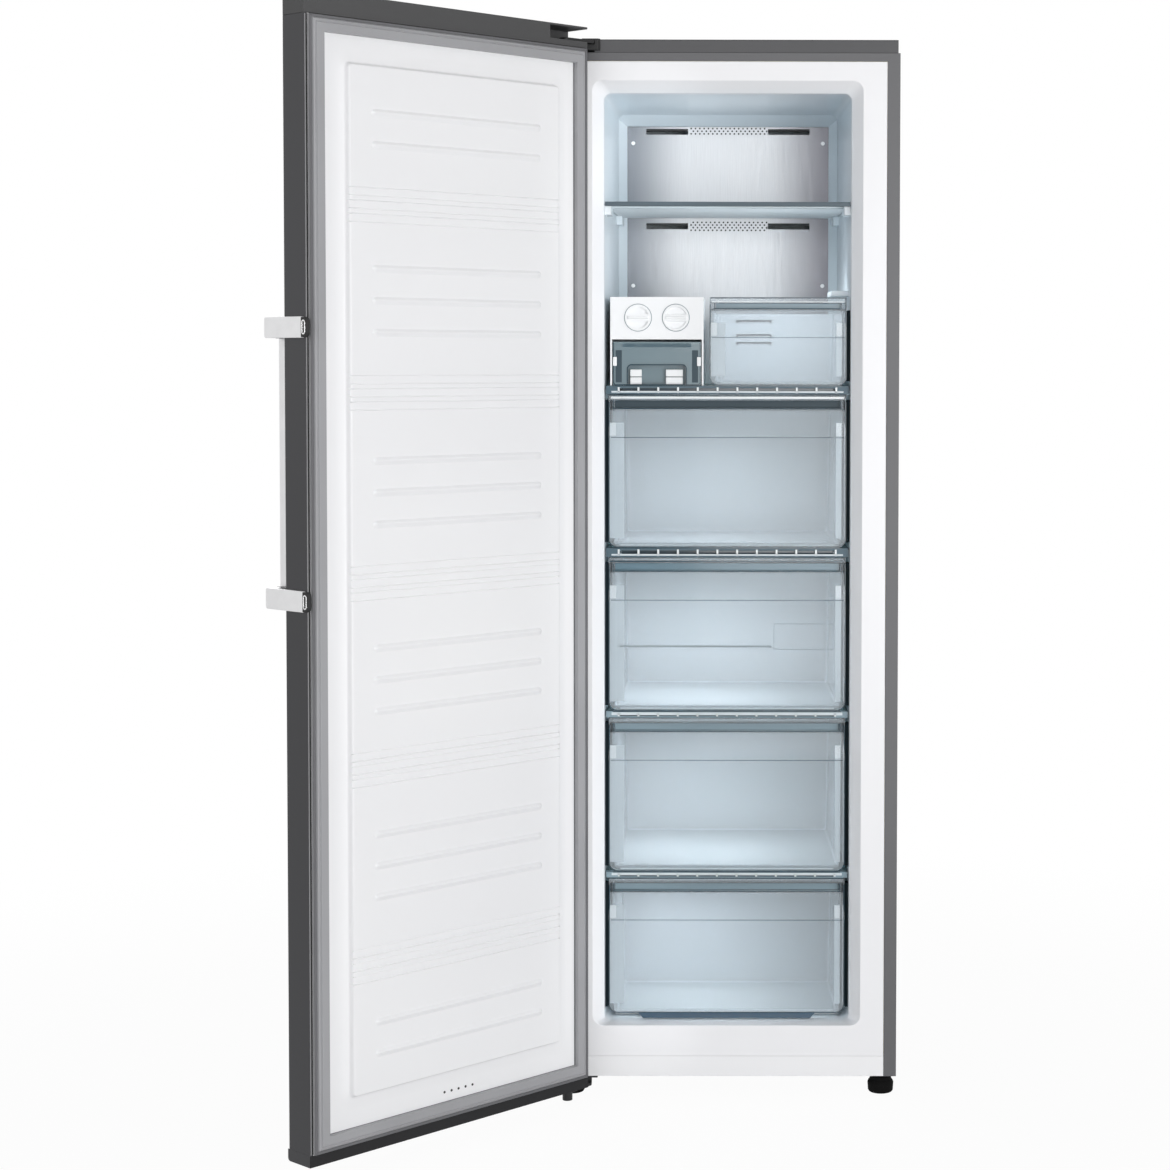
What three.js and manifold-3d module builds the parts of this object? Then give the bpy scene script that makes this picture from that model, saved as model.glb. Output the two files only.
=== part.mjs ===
// Upright frost-free freezer, standing with its door swung open.
// Millimetres. X runs to the right seen from the front, Y runs back from the cabinet's front plane
// and Z runs up from the floor. Everything is laid out with the cabinet centred on X = 0, and the
// finished group is then moved so that its origin is the bottom centre of the whole object.
import * as THREE from 'three';
import { mergeVertices } from 'three/addons/utils/BufferGeometryUtils.js';
import Module from 'manifold-3d';

const wasm = await Module();
wasm.setup();

// ---------------------------------------------------------------- driving dimensions
const seat = 0.3;                 // gap between pieces that rest on, or sit in, one another
const slide = 0.5;                // gap under a sliding drawer
const steel = 0.8;                // sheet steel of the casing and the door skin

const cabinetWidth = 595;
const cabinetDepth = 583;
const cabinetBottom = 33.7;       // underside of the casing above the floor
const roofZ = 1817.7;             // steel roof, under the plastic top cover
const coverHeight = 22.7;         // plastic top cover
const coverInset = 3.5;           // how far the cover's ends stand in from the casing's sides
const coverWall = 3;
const sideReturn = 22;            // visible front fold of the casing at the sides
const topReturn = 14.5;           // visible front fold of the casing at the top
const kickHeight = 35.7;          // kickplate, from the casing's underside
const plateThick = 2;             // kickplate and base frame walls

const linerWall = 2;
const sideWall = 82.5;            // casing side to the cavity behind the throat
const throatFlare = 19;           // how much wider the throat's mouth is than the cavity, each side
const throatDepth = 25;           // bevelled throat behind the front plane
const throatFall = 19.5;          // ceiling below the top of the mouth
const flangeHeight = 47.7;        // roof down to the top of the mouth
const mouthBottom = 123.5;
const mouthRadius = 18;
const floorRise = 1;              // cavity floor above the bottom of the mouth
const innerRadius = 13;
const rearWall = 68;              // insulation and rear panel behind the cavity
const wallDraft = 10;             // each side wall leans in by this much towards the back
const machineDepth = 225;         // machine room at the back of the base
const machineTop = 290;
const humpFront = 53;             // insulation in front of the machine room
const humpRoof = 55;              // insulation over the machine room

const drawerFrontY = 40;
const drawerSideGap = 6.8;
const drawerHeights = [240.5, 272, 270.3, 268];   // from the lowest drawer up
const shelfBands = [11.8, 12.4, 17.7, 16.2];      // height of the shelf over each drawer
const lowestDrawerRise = 10.8;    // lowest drawer's front above the cavity floor
const drawerBackGap = 12;         // drawer to the duct panel
const lowestDrawerGap = 13;       // lowest drawer to the step in front of the machine room
const rimHeight = 10;             // top rail of a drawer front
const gripHeight = 15;            // finger recess under the rail
const gripDepth = 20;
const creaseDrop = 50;            // crease below the panel's top edge
const panelLean = 4;              // the panel leans back above its crease
const clearWall = 2.5;            // clear moulded walls
const frontCorner = 12;
const keelInset = 50.2;           // lowest drawer's keel, in from the drawer's sides
const binTaper = 6;
const binInset = 6;               // bin walls in from the front's edges

const glassThick = 4;
const glassBackGap = 4;           // shelf glass to the duct panel
const railDepth = 14;             // moulded rail along a shelf's front edge
const glassSideGap = 1.5;
const ledgeReach = 11;            // liner ledge that carries a shelf
const ledgeThick = 4;
const topShelfRise = 163.5;       // upper glass shelf above the ice maker
const topShelfFront = 28;
const lugReach = 31;              // lug on the right wall, over the small drawer
const lugThick = 9.5;
const slotPitch = 34.6;           // vent slots in the shelf rails
const slotCount = 11;

const smallDrawerHeight = 154.3;
const smallDrawerLeft = -31.5;
const smallDrawerBack = 300;
const iceSideGap = 3.2;           // ice maker in from the drawers' left edge
const iceDrawerGap = 10.5;        // ice maker to the small drawer
const iceBack = 300;
const icePanelHeight = 74;        // white front panel with the two knobs
const iceWall = 3;
const knobRadius = 23;
const knobSpacing = 66;
const trayHalfWidth = 28;
const trayHalfHeight = 11;
const pocketHalfWidth = 52;       // pocket in the front of the ice bin
const pocketHeight = 37;
const pocketDepth = 18;

const ductDepth = 85;             // steel panel in front of the evaporator, from the cavity's back
const ductSideGap = 8.4;
const ductTopGap = 19.5;
const ductSheet = 1.5;
const ventWidth = 79;
const ventHeight = 7;
const ventOffset = 115.4;
const evaporatorZ = 560;
const evaporatorHeight = 300;
const evaporatorSideGap = 22.1;   // evaporator's end plates to the duct panel's sides
const endPlate = 3;
const finCount = 13;
const finGap = 10;
const fanZ = 1060;
const fanRadius = 58;
const motorRadius = 22;
const motorGap = 34;              // fan motor behind the duct panel
const shaftRadius = 2.5;

const compressorX = 70;
const compressorBackGap = 115;    // compressor's axis to the back of the casing
const compressorRadius = 68;
const compressorHeight = 182;
const trayRise = 34;
const dischargeRadius = 3.2;
const suctionRadius = 4.2;
const pipeRun = 92;               // how far a pipe runs out before it rises
const inletX = -230;
const inletZ = 110;
const louvrePitch = 22;

const doorGap = 10;               // cabinet front plane to the door's inner plane
const doorThick = 57;
const doorSill = 6.3;             // door's lower end below the casing's underside
const doorRise = 14.1;            // door's upper end above the top cover
const topCapHeight = 36;
const bottomCapHeight = 18.6;
const doorCorner = 5;
const pinInset = 21.5;            // hinge pin in from the cabinet's side
const pinY = -40;
const pinRadius = 5;
const armDrop = 3.8;              // upper hinge arm below the top cover's surface
const armThick = 5.4;
const armReach = 46;              // arm's right edge from the pin
const lowerArmDrop = 9.7;         // lower hinge arm under the casing
const lowerArmThick = 5;
const doorAngle = 133.4;          // how far the door stands open
const doorEdgeFold = 5.5;
const plugGap = 1;                // raised panel of the door liner inside the cavity's outline
const plugTopGap = 1.5;
const plugRise = 13;
const plugDraft = 4.5;
const ribPitch = 50;
const ribInset = 37;              // rib ends in from the raised panel's sides
const ribWidth = 8;
const ribRise = 1.6;
const ribMargin = 93;             // middle of the end groups of ribs to the panel's ends
const ribField = 361;             // middle of the next groups to the panel's ends
const gasketInset = 6.2;
const gasketGap = 0.5;            // gasket to the cabinet when the door is shut

const handleTopZ = 1354.3;
const handleBottomZ = 897.4;
const bracketHeight = 33;
const bracketReach = 41;          // how far the handle stands in front of the door
const bracketThick = 6.2;
const barWidth = 22;
const barThick = 12;
const barInset = 12;              // bar to the door's side plane
const barSeat = 14;               // how far the bar's ends sit inside the brackets
const spacerLength = 14;

const footRadius = 23;
const footInset = 25.5;
const footY = 28;
const footRise = 28.6;
const stemRadius = 6;
const rollerRadius = 16;
const rollerWidth = 18;
const rollerInset = 57.5;
const rollerBackGap = 38;
const axleRadius = 4;

// ---------------------------------------------------------------- derived places
const halfWidth = cabinetWidth / 2;
const coverTop = roofZ + coverHeight;
const kickTop = cabinetBottom + kickHeight;
const innerHalfWidth = halfWidth - sideWall;
const mouthHalfWidth = innerHalfWidth + throatFlare;
const mouthTop = roofZ - flangeHeight;
const innerTop = mouthTop - throatFall;
const innerFloor = mouthBottom + floorRise;
const cavityDepth = cabinetDepth - rearWall;
const machineFront = cabinetDepth - machineDepth;
const humpWall = machineFront - humpFront;
const humpTop = machineTop + humpRoof;
const ductFront = cavityDepth - ductDepth;
const ductHalfWidth = innerHalfWidth - wallDraft - ductSideGap;
const ductTop = innerTop - ductTopGap;
const evaporatorHalfWidth = ductHalfWidth - ductSheet - evaporatorSideGap;
const drawerHalfWidth = innerHalfWidth - drawerSideGap;
const drawerBack = ductFront - drawerBackGap;
const lowestDrawerBack = humpWall - lowestDrawerGap;
const glassBack = ductFront - glassBackGap;
const iceLeft = -drawerHalfWidth + iceSideGap;
const iceRight = smallDrawerLeft - iceDrawerGap;
const doorInner = -doorGap;
const doorOuter = -doorGap - doorThick;
const doorHalf = halfWidth;
const doorBottom = cabinetBottom - doorSill;
const doorTop = coverTop + doorRise;
const pinX = -halfWidth + pinInset;
const plugHalfWidth = innerHalfWidth - plugGap;
const plugBottom = mouthBottom;
const plugTop = innerTop - plugTopGap;
const ribGroups = [               // middle height of each group of ribs, and how many it has
  [plugTop - ribMargin, 2],
  ...[3, 2, 1, 0].map((i) => [plugBottom + ribField + i * (plugTop - plugBottom - 2 * ribField) / 3, 3]),
  [plugBottom + ribMargin, 2],
];
const footX = halfWidth - footInset;
const rollerX = halfWidth - rollerInset;
const rollerY = cabinetDepth - rollerBackGap;
const compressorY = cabinetDepth - compressorBackGap;
const flangeBack = linerWall + seat;
const drawers = [];
let level = innerFloor + lowestDrawerRise;
drawerHeights.forEach((height, i) => {
  drawers.push({ bottom: level, top: level + height, shelfTop: level + height + shelfBands[i] - slide });
  level += height + shelfBands[i];
});
const middleGlassTop = drawers[3].shelfTop;
const iceTop = middleGlassTop + slide + smallDrawerHeight;
const topShelfZ = iceTop + topShelfRise;
const knobZ = iceTop - icePanelHeight / 2 + 1;
const iceMiddle = (iceLeft + iceRight) / 2;
const ventRows = [ductTop - 11, topShelfZ - 21, ...drawers.slice(1).map((d) => d.top - 80)];
const smallVentRows = [iceTop - 35.5, iceTop - 63.5];
const wallX = (y) => innerHalfWidth - wallDraft * (y - throatDepth) / (cavityDepth - throatDepth);

// ---------------------------------------------------------------- solid helpers
function solid(geometry) {
  const bare = geometry.clone();
  bare.deleteAttribute('normal');
  bare.deleteAttribute('uv');
  const merged = mergeVertices(bare, 1e-4);
  const mesh = new wasm.Mesh({
    numProp: 3,
    vertProperties: new Float32Array(merged.attributes.position.array),
    triVerts: new Uint32Array(merged.index.array),
  });
  return new wasm.Manifold(mesh);
}

function box(x0, x1, y0, y1, z0, z1) {
  const geometry = new THREE.BoxGeometry(x1 - x0, y1 - y0, z1 - z0);
  return solid(geometry.translate((x0 + x1) / 2, (y0 + y1) / 2, (z0 + z1) / 2));
}

// A shape drawn in the plane across `axis`, drawn out along it from one place to another.
function prism(shape, axis, from, to, segments = 6) {
  const geometry = new THREE.ExtrudeGeometry(shape, {
    depth: to - from, bevelEnabled: false, curveSegments: segments,
  });
  geometry.translate(0, 0, from);
  const turn = new THREE.Matrix4();
  if (axis === 'x') turn.set(0, 0, 1, 0, 1, 0, 0, 0, 0, 1, 0, 0, 0, 0, 0, 1);
  if (axis === 'y') {
    geometry.translate(0, 0, -from - to);
    turn.makeRotationX(Math.PI / 2);
  }
  return solid(geometry.applyMatrix4(turn));
}

function polygon(points) {
  return new THREE.Shape(points.map(([a, b]) => new THREE.Vector2(a, b)));
}

function roundedRect(x0, x1, y0, y1, lower, upper = lower) {
  const shape = new THREE.Shape();
  const corner = (x, y, r, start) => {
    if (r > 0) shape.absarc(x, y, r, start, start + Math.PI / 2);
    else shape.lineTo(x, y);
  };
  shape.moveTo(x1 - lower, y0);
  corner(x1 - lower, y0 + lower, lower, -Math.PI / 2);
  corner(x1 - upper, y1 - upper, upper, 0);
  corner(x0 + upper, y1 - upper, upper, Math.PI / 2);
  corner(x0 + lower, y0 + lower, lower, Math.PI);
  return shape;
}

// Rings of equal count, joined in order and closed at both ends.
function loft(rings) {
  const count = rings[0].length;
  const positions = rings.flat().flatMap((p) => [p.x, p.y, p.z]);
  const index = [];
  for (let r = 0; r < rings.length - 1; r += 1) {
    for (let i = 0; i < count; i += 1) {
      const a = r * count + i;
      const b = r * count + (i + 1) % count;
      index.push(a, b, b + count, a, b + count, a + count);
    }
  }
  const last = (rings.length - 1) * count;
  for (let i = 1; i < count - 1; i += 1) {
    index.push(0, i + 1, i);
    index.push(last, last + i, last + i + 1);
  }
  const geometry = new THREE.BufferGeometry();
  geometry.setAttribute('position', new THREE.Float32BufferAttribute(positions, 3));
  geometry.setIndex(index);
  return solid(outward(geometry));
}

// Turns a closed mesh's faces outwards.
function outward(geometry) {
  const p = geometry.attributes.position;
  const index = geometry.index;
  const [a, b, c] = [new THREE.Vector3(), new THREE.Vector3(), new THREE.Vector3()];
  let volume = 0;
  for (let i = 0; i < index.count; i += 3) {
    a.fromBufferAttribute(p, index.getX(i));
    b.fromBufferAttribute(p, index.getX(i + 1));
    c.fromBufferAttribute(p, index.getX(i + 2));
    volume += a.dot(b.cross(c));
  }
  if (volume < 0) {
    for (let i = 0; i < index.count; i += 3) {
      const second = index.getX(i + 1);
      index.setX(i + 1, index.getX(i + 2));
      index.setX(i + 2, second);
    }
  }
  return geometry;
}

// A rounded rectangle across Y, as a ring of points.
function ringY(y, halfX, z0, z1, radius) {
  return roundedRect(-halfX, halfX, z0, z1, radius).getPoints(5)
    .filter((p, i, all) => i === 0 || p.distanceTo(all[i - 1]) > 1e-3)
    .filter((p, i, all) => i < all.length - 1 || p.distanceTo(all[0]) > 1e-3)
    .map((p) => new THREE.Vector3(p.x, y, p.y));
}

function revolve(points, segments = 24) {
  const profile = points.map(([r, z]) => new THREE.Vector2(r, z));
  const geometry = new THREE.LatheGeometry(profile, segments);
  geometry.deleteAttribute('normal');
  geometry.deleteAttribute('uv');
  const merged = mergeVertices(geometry, 1e-4);
  const kept = [];
  const index = merged.index.array;
  for (let i = 0; i < index.length; i += 3) {
    const [a, b, c] = [index[i], index[i + 1], index[i + 2]];
    if (a !== b && b !== c && c !== a) kept.push(a, b, c);
  }
  merged.setIndex(kept);
  return solid(outward(merged.rotateX(Math.PI / 2)));
}

function rod(axis, radius, from, to, u, v, segments = 24) {
  const shape = new THREE.Shape().absarc(u, v, radius, 0, Math.PI * 2);
  return prism(shape, axis, from, to, segments);
}

function union(pieces) {
  return pieces.reduce((all, piece) => all.add(piece));
}

function mirrorX(manifoldSolid) {
  return manifoldSolid.scale([-1, 1, 1]);
}

function toGeometry(manifoldSolid) {
  const mesh = manifoldSolid.getMesh();
  const geometry = new THREE.BufferGeometry();
  const positions = [];
  for (let i = 0; i < mesh.vertProperties.length; i += mesh.numProp) {
    positions.push(...mesh.vertProperties.slice(i, i + 3));
  }
  geometry.setAttribute('position', new THREE.Float32BufferAttribute(positions, 3));
  geometry.setIndex(Array.from(mesh.triVerts));
  geometry.computeVertexNormals();
  return geometry;
}

// ---------------------------------------------------------------- materials and groups
const finish = (color, roughness, metalness) => () => new THREE.MeshStandardMaterial({ color, roughness, metalness });
const greySteel = finish('#4b4b4c', 0.42, 0.5);
const sideSteel = finish('#868789', 0.45, 0.4);
const greyPlastic = finish('#666667', 0.55, 0);
const whiteLiner = finish('#f1f1f3', 0.4, 0);
const clearBlue = finish('#b9c7d2', 0.15, 0);
const glassPlate = finish('#c6d8dd', 0.05, 0);
const whitePlastic = finish('#f2f2f0', 0.5, 0);
const blackPlastic = finish('#1a1a1b', 0.5, 0);
const brushedPanel = finish('#b9b9be', 0.3, 0.9);
const brightMetal = finish('#d8d8d9', 0.25, 0.9);
const zincSteel = finish('#a9adb0', 0.4, 0.8);
const copper = finish('#b87a4e', 0.3, 0.9);
const foam = finish('#e5d9a6', 0.9, 0);
const greyRubber = finish('#a5a5a8', 0.7, 0);

const freezer = new THREE.Group();
const hingeTurn = new THREE.Group();
hingeTurn.position.set(pinX, pinY, 0);
hingeTurn.rotation.z = -THREE.MathUtils.degToRad(doorAngle);
const door = new THREE.Group();
door.position.set(-pinX, -pinY, 0);
hingeTurn.add(door);
freezer.add(hingeTurn);

function addPart(group, name, shape, material) {
  const mesh = new THREE.Mesh(toGeometry(shape), material());
  mesh.name = name;
  group.add(mesh);
}

// ---------------------------------------------------------------- cabinet casing
function cavityForm(grow, front) {
  const start = front ? [ringY(-1, mouthHalfWidth + grow, mouthBottom - grow, mouthTop + grow, mouthRadius + grow)] : [];
  const form = loft([
    ...start,
    ringY(0, mouthHalfWidth + grow, mouthBottom - grow, mouthTop + grow, mouthRadius + grow),
    ringY(throatDepth, innerHalfWidth + grow, innerFloor - grow, innerTop + grow, innerRadius + grow),
    ringY(cavityDepth + grow, innerHalfWidth - wallDraft + grow, innerFloor - grow, innerTop + grow, innerRadius + grow),
  ]);
  const hump = box(-halfWidth, halfWidth, humpWall + grow, cabinetDepth, 0, humpTop - grow);
  return form.subtract(hump);
}

function outerShell() {
  const outside = box(-halfWidth, halfWidth, 0, cabinetDepth, cabinetBottom, roofZ);
  const inside = box(
    -halfWidth + steel, halfWidth - steel, steel, cabinetDepth + 1, cabinetBottom - 1, roofZ - steel,
  );
  const mouth = box(
    -halfWidth + sideReturn, halfWidth - sideReturn, -1, steel + 1, cabinetBottom - 1, roofZ - topReturn,
  );
  return outside.subtract(inside).subtract(mouth);
}

function insulationBody() {
  const side = halfWidth - steel - seat;
  const block = box(-side, side, flangeBack, cabinetDepth - steel - seat, kickTop + seat, roofZ - steel - seat);
  const machineRoom = box(-halfWidth, halfWidth, machineFront, cabinetDepth, 0, machineTop);
  return block.subtract(cavityForm(linerWall + seat, true)).subtract(machineRoom);
}

// A ledge on the liner's right wall, following the wall's draft.
function ledge(y0, y1, z0, z1, reach) {
  const shape = polygon([
    [wallX(y0) - reach, y0], [wallX(y0) + linerWall / 2, y0],
    [wallX(y1) + linerWall / 2, y1], [wallX(y1) - reach, y1],
  ]);
  return prism(shape, 'z', z0, z1);
}

function innerLiner() {
  const side = halfWidth - sideReturn - seat;
  const flange = box(-side, side, 0, linerWall, kickTop + seat, roofZ - topReturn - seat);
  const shelves = drawers.map((d) => d.shelfTop - glassThick);
  const ledges = shelves.map((z) => ledge(drawerFrontY + railDepth, glassBack, z - seat - ledgeThick, z - seat, ledgeReach));
  [topShelfFront + railDepth, glassBack - 70].forEach((y) => {
    const z = topShelfZ - glassThick - seat;
    ledges.push(ledge(y, y + 60, z - 16, z, ledgeReach));
  });
  const lugStart = 2 * drawerFrontY;
  const lug = ledge(lugStart, lugStart + 120, iceTop + 3, iceTop + 3 + lugThick, lugReach);
  return union([flange.add(cavityForm(linerWall, false)).subtract(cavityForm(0, true)),
    ...ledges, ...ledges.map(mirrorX), lug]);
}

function topCover() {
  const end = halfWidth - coverInset;
  const z0 = roofZ + seat;
  const outside = prism(roundedRect(0, cabinetDepth, z0, coverTop, 0, 3), 'x', -end, end);
  const inside = box(-end + coverWall, end - coverWall, coverWall, cabinetDepth - coverWall, z0 - 1, coverTop - coverWall);
  const armSlot = box(armLeft - 2 - seat, armRight + seat, -1, coverWall + 1, z0 - 1, armTop + seat);
  return outside.subtract(inside).subtract(armSlot);
}

function rearPanel() {
  const side = halfWidth - steel - seat;
  const sheet = box(-side, side, cabinetDepth - steel, cabinetDepth, machineTop + seat, roofZ - steel - seat);
  return sheet;
}

function kickplate() {
  const side = halfWidth - sideReturn - seat;
  return box(-side, side, 0, plateThick, cabinetBottom + seat, kickTop);
}

const frameSide = halfWidth - steel - seat;
const frameFront = plateThick + seat;
const frameBack = cabinetDepth - 1.2 - seat;
const rollerZ = rollerRadius;
const forkGap = rollerWidth / 2 + seat;

function baseFrame() {
  const outside = box(-frameSide, frameSide, frameFront, frameBack, cabinetBottom + seat, kickTop);
  const floor = cabinetBottom + seat + plateThick;
  const inside = box(
    -frameSide + plateThick, frameSide - plateThick, frameFront + plateThick, frameBack - plateThick, floor, kickTop + 1,
  );
  let frame = outside.subtract(inside);
  frame = frame.add(box(-frameSide + 1, frameSide - 1, machineFront - 6, machineFront - 4, floor - 1, kickTop));
  [-1, 1].forEach((sideSign) => {
    const stem = rod('z', stemRadius + seat, 0, kickTop, sideSign * footX, footY, 12);
    frame = frame.subtract(stem);
    const x = sideSign * rollerX;
    const well = box(x - forkGap, x + forkGap, rollerY - rollerRadius - 4, rollerY + rollerRadius + 4, 0, kickTop - 20);
    frame = frame.subtract(well);
    [-1, 1].forEach((cheek) => {
      const inner = x + cheek * forkGap;
      const outer = inner + cheek * 3;
      const plate = prism(polygon([
        [rollerY - 20, floor], [rollerY - 9, rollerZ - 8], [rollerY + 9, rollerZ - 8], [rollerY + 20, floor],
      ]), 'x', Math.min(inner, outer), Math.max(inner, outer));
      frame = frame.add(plate);
    });
    frame = frame.subtract(rod('x', axleRadius + seat, x - forkGap - 4, x + forkGap + 4, rollerY, rollerZ, 16));
  });
  return frame;
}

// ---------------------------------------------------------------- hinges
const armLeft = pinX - 14;
const armRight = pinX + armReach;
const armTop = coverTop - armDrop;
const armFloor = armTop - armThick;

function upperHingeBracket() {
  const shape = new THREE.Shape();
  shape.moveTo(armRight, 60);
  shape.lineTo(armLeft + 34, 60);
  shape.lineTo(armLeft + 34, 4);
  shape.lineTo(pinX - 13, pinY + 6);
  shape.absarc(pinX, pinY, 13, Math.PI * 0.9, Math.PI * 1.6);
  shape.lineTo(armRight, -14);
  shape.closePath();
  const arm = prism(shape, 'z', armFloor, armTop);
  const riser = box(armLeft + 34, armRight, 50, 60, roofZ + seat, armTop);
  const foot = box(armLeft + 10, armRight + 30, 50, 110, roofZ + seat, roofZ + seat + 4);
  const pin = rod('z', pinRadius, doorTop - topCapHeight + 2, armTop, pinX, pinY);
  return union([arm, riser, foot, pin]);
}

function upperHingeCover() {
  const x0 = armRight - 22;
  const x1 = armRight + 10;
  const y = -doorGap + 1.4;
  const shape = polygon([[x0, -seat], [x0, y + 2], [x0 + 2, y], [x1 - 4, y], [x1, y + 3.6], [x1, -seat]]);
  const boss = prism(shape, 'z', roofZ + 3, armTop + 4);
  const slot = box(armLeft, armRight + seat, -20, 1, armFloor - seat, armTop + seat);
  return boss.subtract(slot);
}

function lowerHingeBracket() {
  const top = cabinetBottom;
  const armUpper = top - lowerArmDrop;
  const armLower = armUpper - lowerArmThick;
  const x1 = pinX + 40;
  const foot = box(-halfWidth + 4, x1 + 10, 4, 60, top - 4, top);
  const web = box(pinX - 12, x1, 2, 6, armLower, top);
  const shape = new THREE.Shape();
  shape.moveTo(x1, 6);
  shape.lineTo(pinX - 12, 6);
  shape.lineTo(pinX - 12, pinY);
  shape.absarc(pinX, pinY, 12, Math.PI, Math.PI * 1.75);
  shape.lineTo(x1, -6);
  shape.closePath();
  const arm = prism(shape, 'z', armLower, armUpper, 5);
  const pin = rod('z', pinRadius, armLower + 1, doorBottom + bottomCapHeight - 3, pinX, pinY, 16);
  const collar = rod('z', pinRadius + 4, armUpper - 1, doorBottom - seat, pinX, pinY, 16);
  const nut = rod('z', pinRadius + 3.8, armLower - 15, armLower + 1, pinX, pinY, 6);
  const stemHole = rod('z', stemRadius + seat, 0, top + 1, -footX, footY, 12);
  return union([foot, web, arm, pin, collar, nut]).subtract(stemHole);
}

function frontFoot(sign) {
  const pad = revolve([[0, 0], [footRadius - 3, 0], [footRadius - 1, 3], [footRadius, footRise - 11.6],
    [footRadius - 2, footRise - 7.6], [footRadius - 4, footRise - 6.1], [footRadius - 4, footRise], [0, footRise]], 24);
  const stem = rod('z', stemRadius, footRise - 8, kickTop - 14, 0, 0, 12);
  return pad.add(stem).translate([sign * footX, footY, 0]);
}

function rearRoller(sign) {
  const h = rollerWidth / 2;
  const wheel = revolve([[0, -h], [rollerRadius - 1.5, -h], [rollerRadius, -h + 2], [rollerRadius, h - 2],
    [rollerRadius - 1.5, h], [0, h]], 24);
  const axle = revolve([[0, -h - 3], [axleRadius, -h - 3], [axleRadius, h + 3], [0, h + 3]], 12);
  return wheel.add(axle).rotate([0, 90, 0]).translate([sign * rollerX, rollerY, rollerZ]);
}

// ---------------------------------------------------------------- machine room
const floorTop = cabinetBottom + seat + plateThick;
const compressorTop = cabinetBottom + plateThick + compressorHeight + seat;

function compressor() {
  const base = floorTop + seat;
  const foot = base + 14;
  const r = compressorRadius;
  const weld = compressorTop - 76;
  const can = revolve([[0, foot], [r - 28, foot + 2], [r - 8, foot + 14], [r, foot + 34],
    [r, weld - 4], [r + 5, weld - 2], [r + 5, weld + 2], [r, weld + 4],
    [r, compressorTop - 40], [r - 10, compressorTop - 14], [r / 2, compressorTop - 2], [0, compressorTop]], 20);
  const plate = box(-r - 32, r + 32, -r + 16, r - 16, foot - 1, foot + 6);
  const feet = [];
  [-1, 1].forEach((sx) => [-1, 1].forEach((sy) => {
    feet.push(rod('z', 12, base, foot + 10, sx * (r + 18), sy * (r - 30), 10));
  }));
  const relay = box(-24, 24, -r - 22, -r + 12, foot + 30, weld - 4);
  return union([can, plate, ...feet, relay]).translate([compressorX, compressorY, 0]);
}

function dripTray() {
  const z0 = compressorTop + seat;
  const across = compressorRadius + 16;
  const along = compressorRadius - 6;
  const ring = (grow, z) => [[-1, -1], [1, -1], [1, 1], [-1, 1]]
    .map(([sx, sy]) => new THREE.Vector3(compressorX + sx * (across + grow), compressorY + sy * (along + grow), z));
  const outside = loft([ring(0, z0), ring(8, z0 + trayRise)]);
  const inside = loft([ring(-clearWall, z0 + clearWall), ring(8 - clearWall, z0 + trayRise + 1)]);
  return outside.subtract(inside);
}

function pipe(points, radius) {
  const path = new THREE.CatmullRomCurve3(points.map((p) => new THREE.Vector3(...p)), false, 'catmullrom', 0.3);
  const section = new THREE.Shape().absarc(0, 0, radius, 0, Math.PI * 2);
  return solid(new THREE.ExtrudeGeometry(section, { steps: 24, curveSegments: 4, extrudePath: path }));
}

function dischargePipe() {
  const x = compressorX + compressorRadius + seat;
  const y = compressorY;
  const z = floorTop + 60;
  return pipe([[x, y, z], [x + 25, y, z], [x + pipeRun - 22, y, z + 2], [x + pipeRun, y, z + 34],
    [x + pipeRun, y, machineTop - 60], [x + pipeRun, y, machineTop - seat]], dischargeRadius);
}

function suctionPipe() {
  const x = compressorX - compressorRadius - seat;
  const y = compressorY + 10;
  const z = floorTop + 74;
  const run = pipeRun - 16;
  return pipe([[x, y, z], [x - 20, y, z], [x - run + 16, y - 10, z + 4], [x - run, y - 20, z + 40],
    [x - run, y - 20, machineTop - 60], [x - run, y - 20, machineTop - seat]], suctionRadius);
}

function inletHole(grow) {
  return [inletX - 25 - grow, inletX + 25 + grow, inletZ - 15 - grow, inletZ + 15 + grow];
}

function machineRoomCover() {
  const side = halfWidth - steel - seat;
  let sheet = box(-side, side, cabinetDepth - 1.2, cabinetDepth, cabinetBottom + seat, machineTop);
  const rows = 8;
  for (let column = 0; column < 4; column += 1) {
    for (let row = 0; row < rows; row += 1) {
      const x = inletX + 100 + column * 110;
      const z = machineTop - 46 - (rows - 1 - row) * louvrePitch;
      sheet = sheet.subtract(box(x - 42, x + 42, cabinetDepth - 5, cabinetDepth + 5, z - 4, z + 4));
    }
  }
  const [x0, x1, z0, z1] = inletHole(seat);
  return sheet.subtract(box(x0, x1, cabinetDepth - 5, cabinetDepth + 5, z0, z1));
}

function mainsInlet() {
  const [x0, x1, z0, z1] = inletHole(0);
  const y = cabinetDepth;
  let body = box(x0, x1, y - 26, y, z0, z1).add(box(x0 - 3, x1 + 3, y - 1.2 - seat - 3, y - 1.2 - seat, z0 - 3, z1 + 3));
  body = body.subtract(prism(polygon([[inletX - 12, inletZ - 8], [inletX + 12, inletZ - 8], [inletX + 12, inletZ + 4],
    [inletX + 8, inletZ + 8], [inletX - 8, inletZ + 8], [inletX - 12, inletZ + 4]]), 'y', y - 18, y + 1));
  [[-7, 0], [0, 3], [7, 0]].forEach(([dx, dz]) => {
    body = body.add(box(inletX + dx - 1, inletX + dx + 1, y - 19, y - 3, inletZ + dz - 2, inletZ + dz + 2));
  });
  return body;
}

// ---------------------------------------------------------------- cooling air path
const linerBack = cavityDepth - seat;

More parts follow.
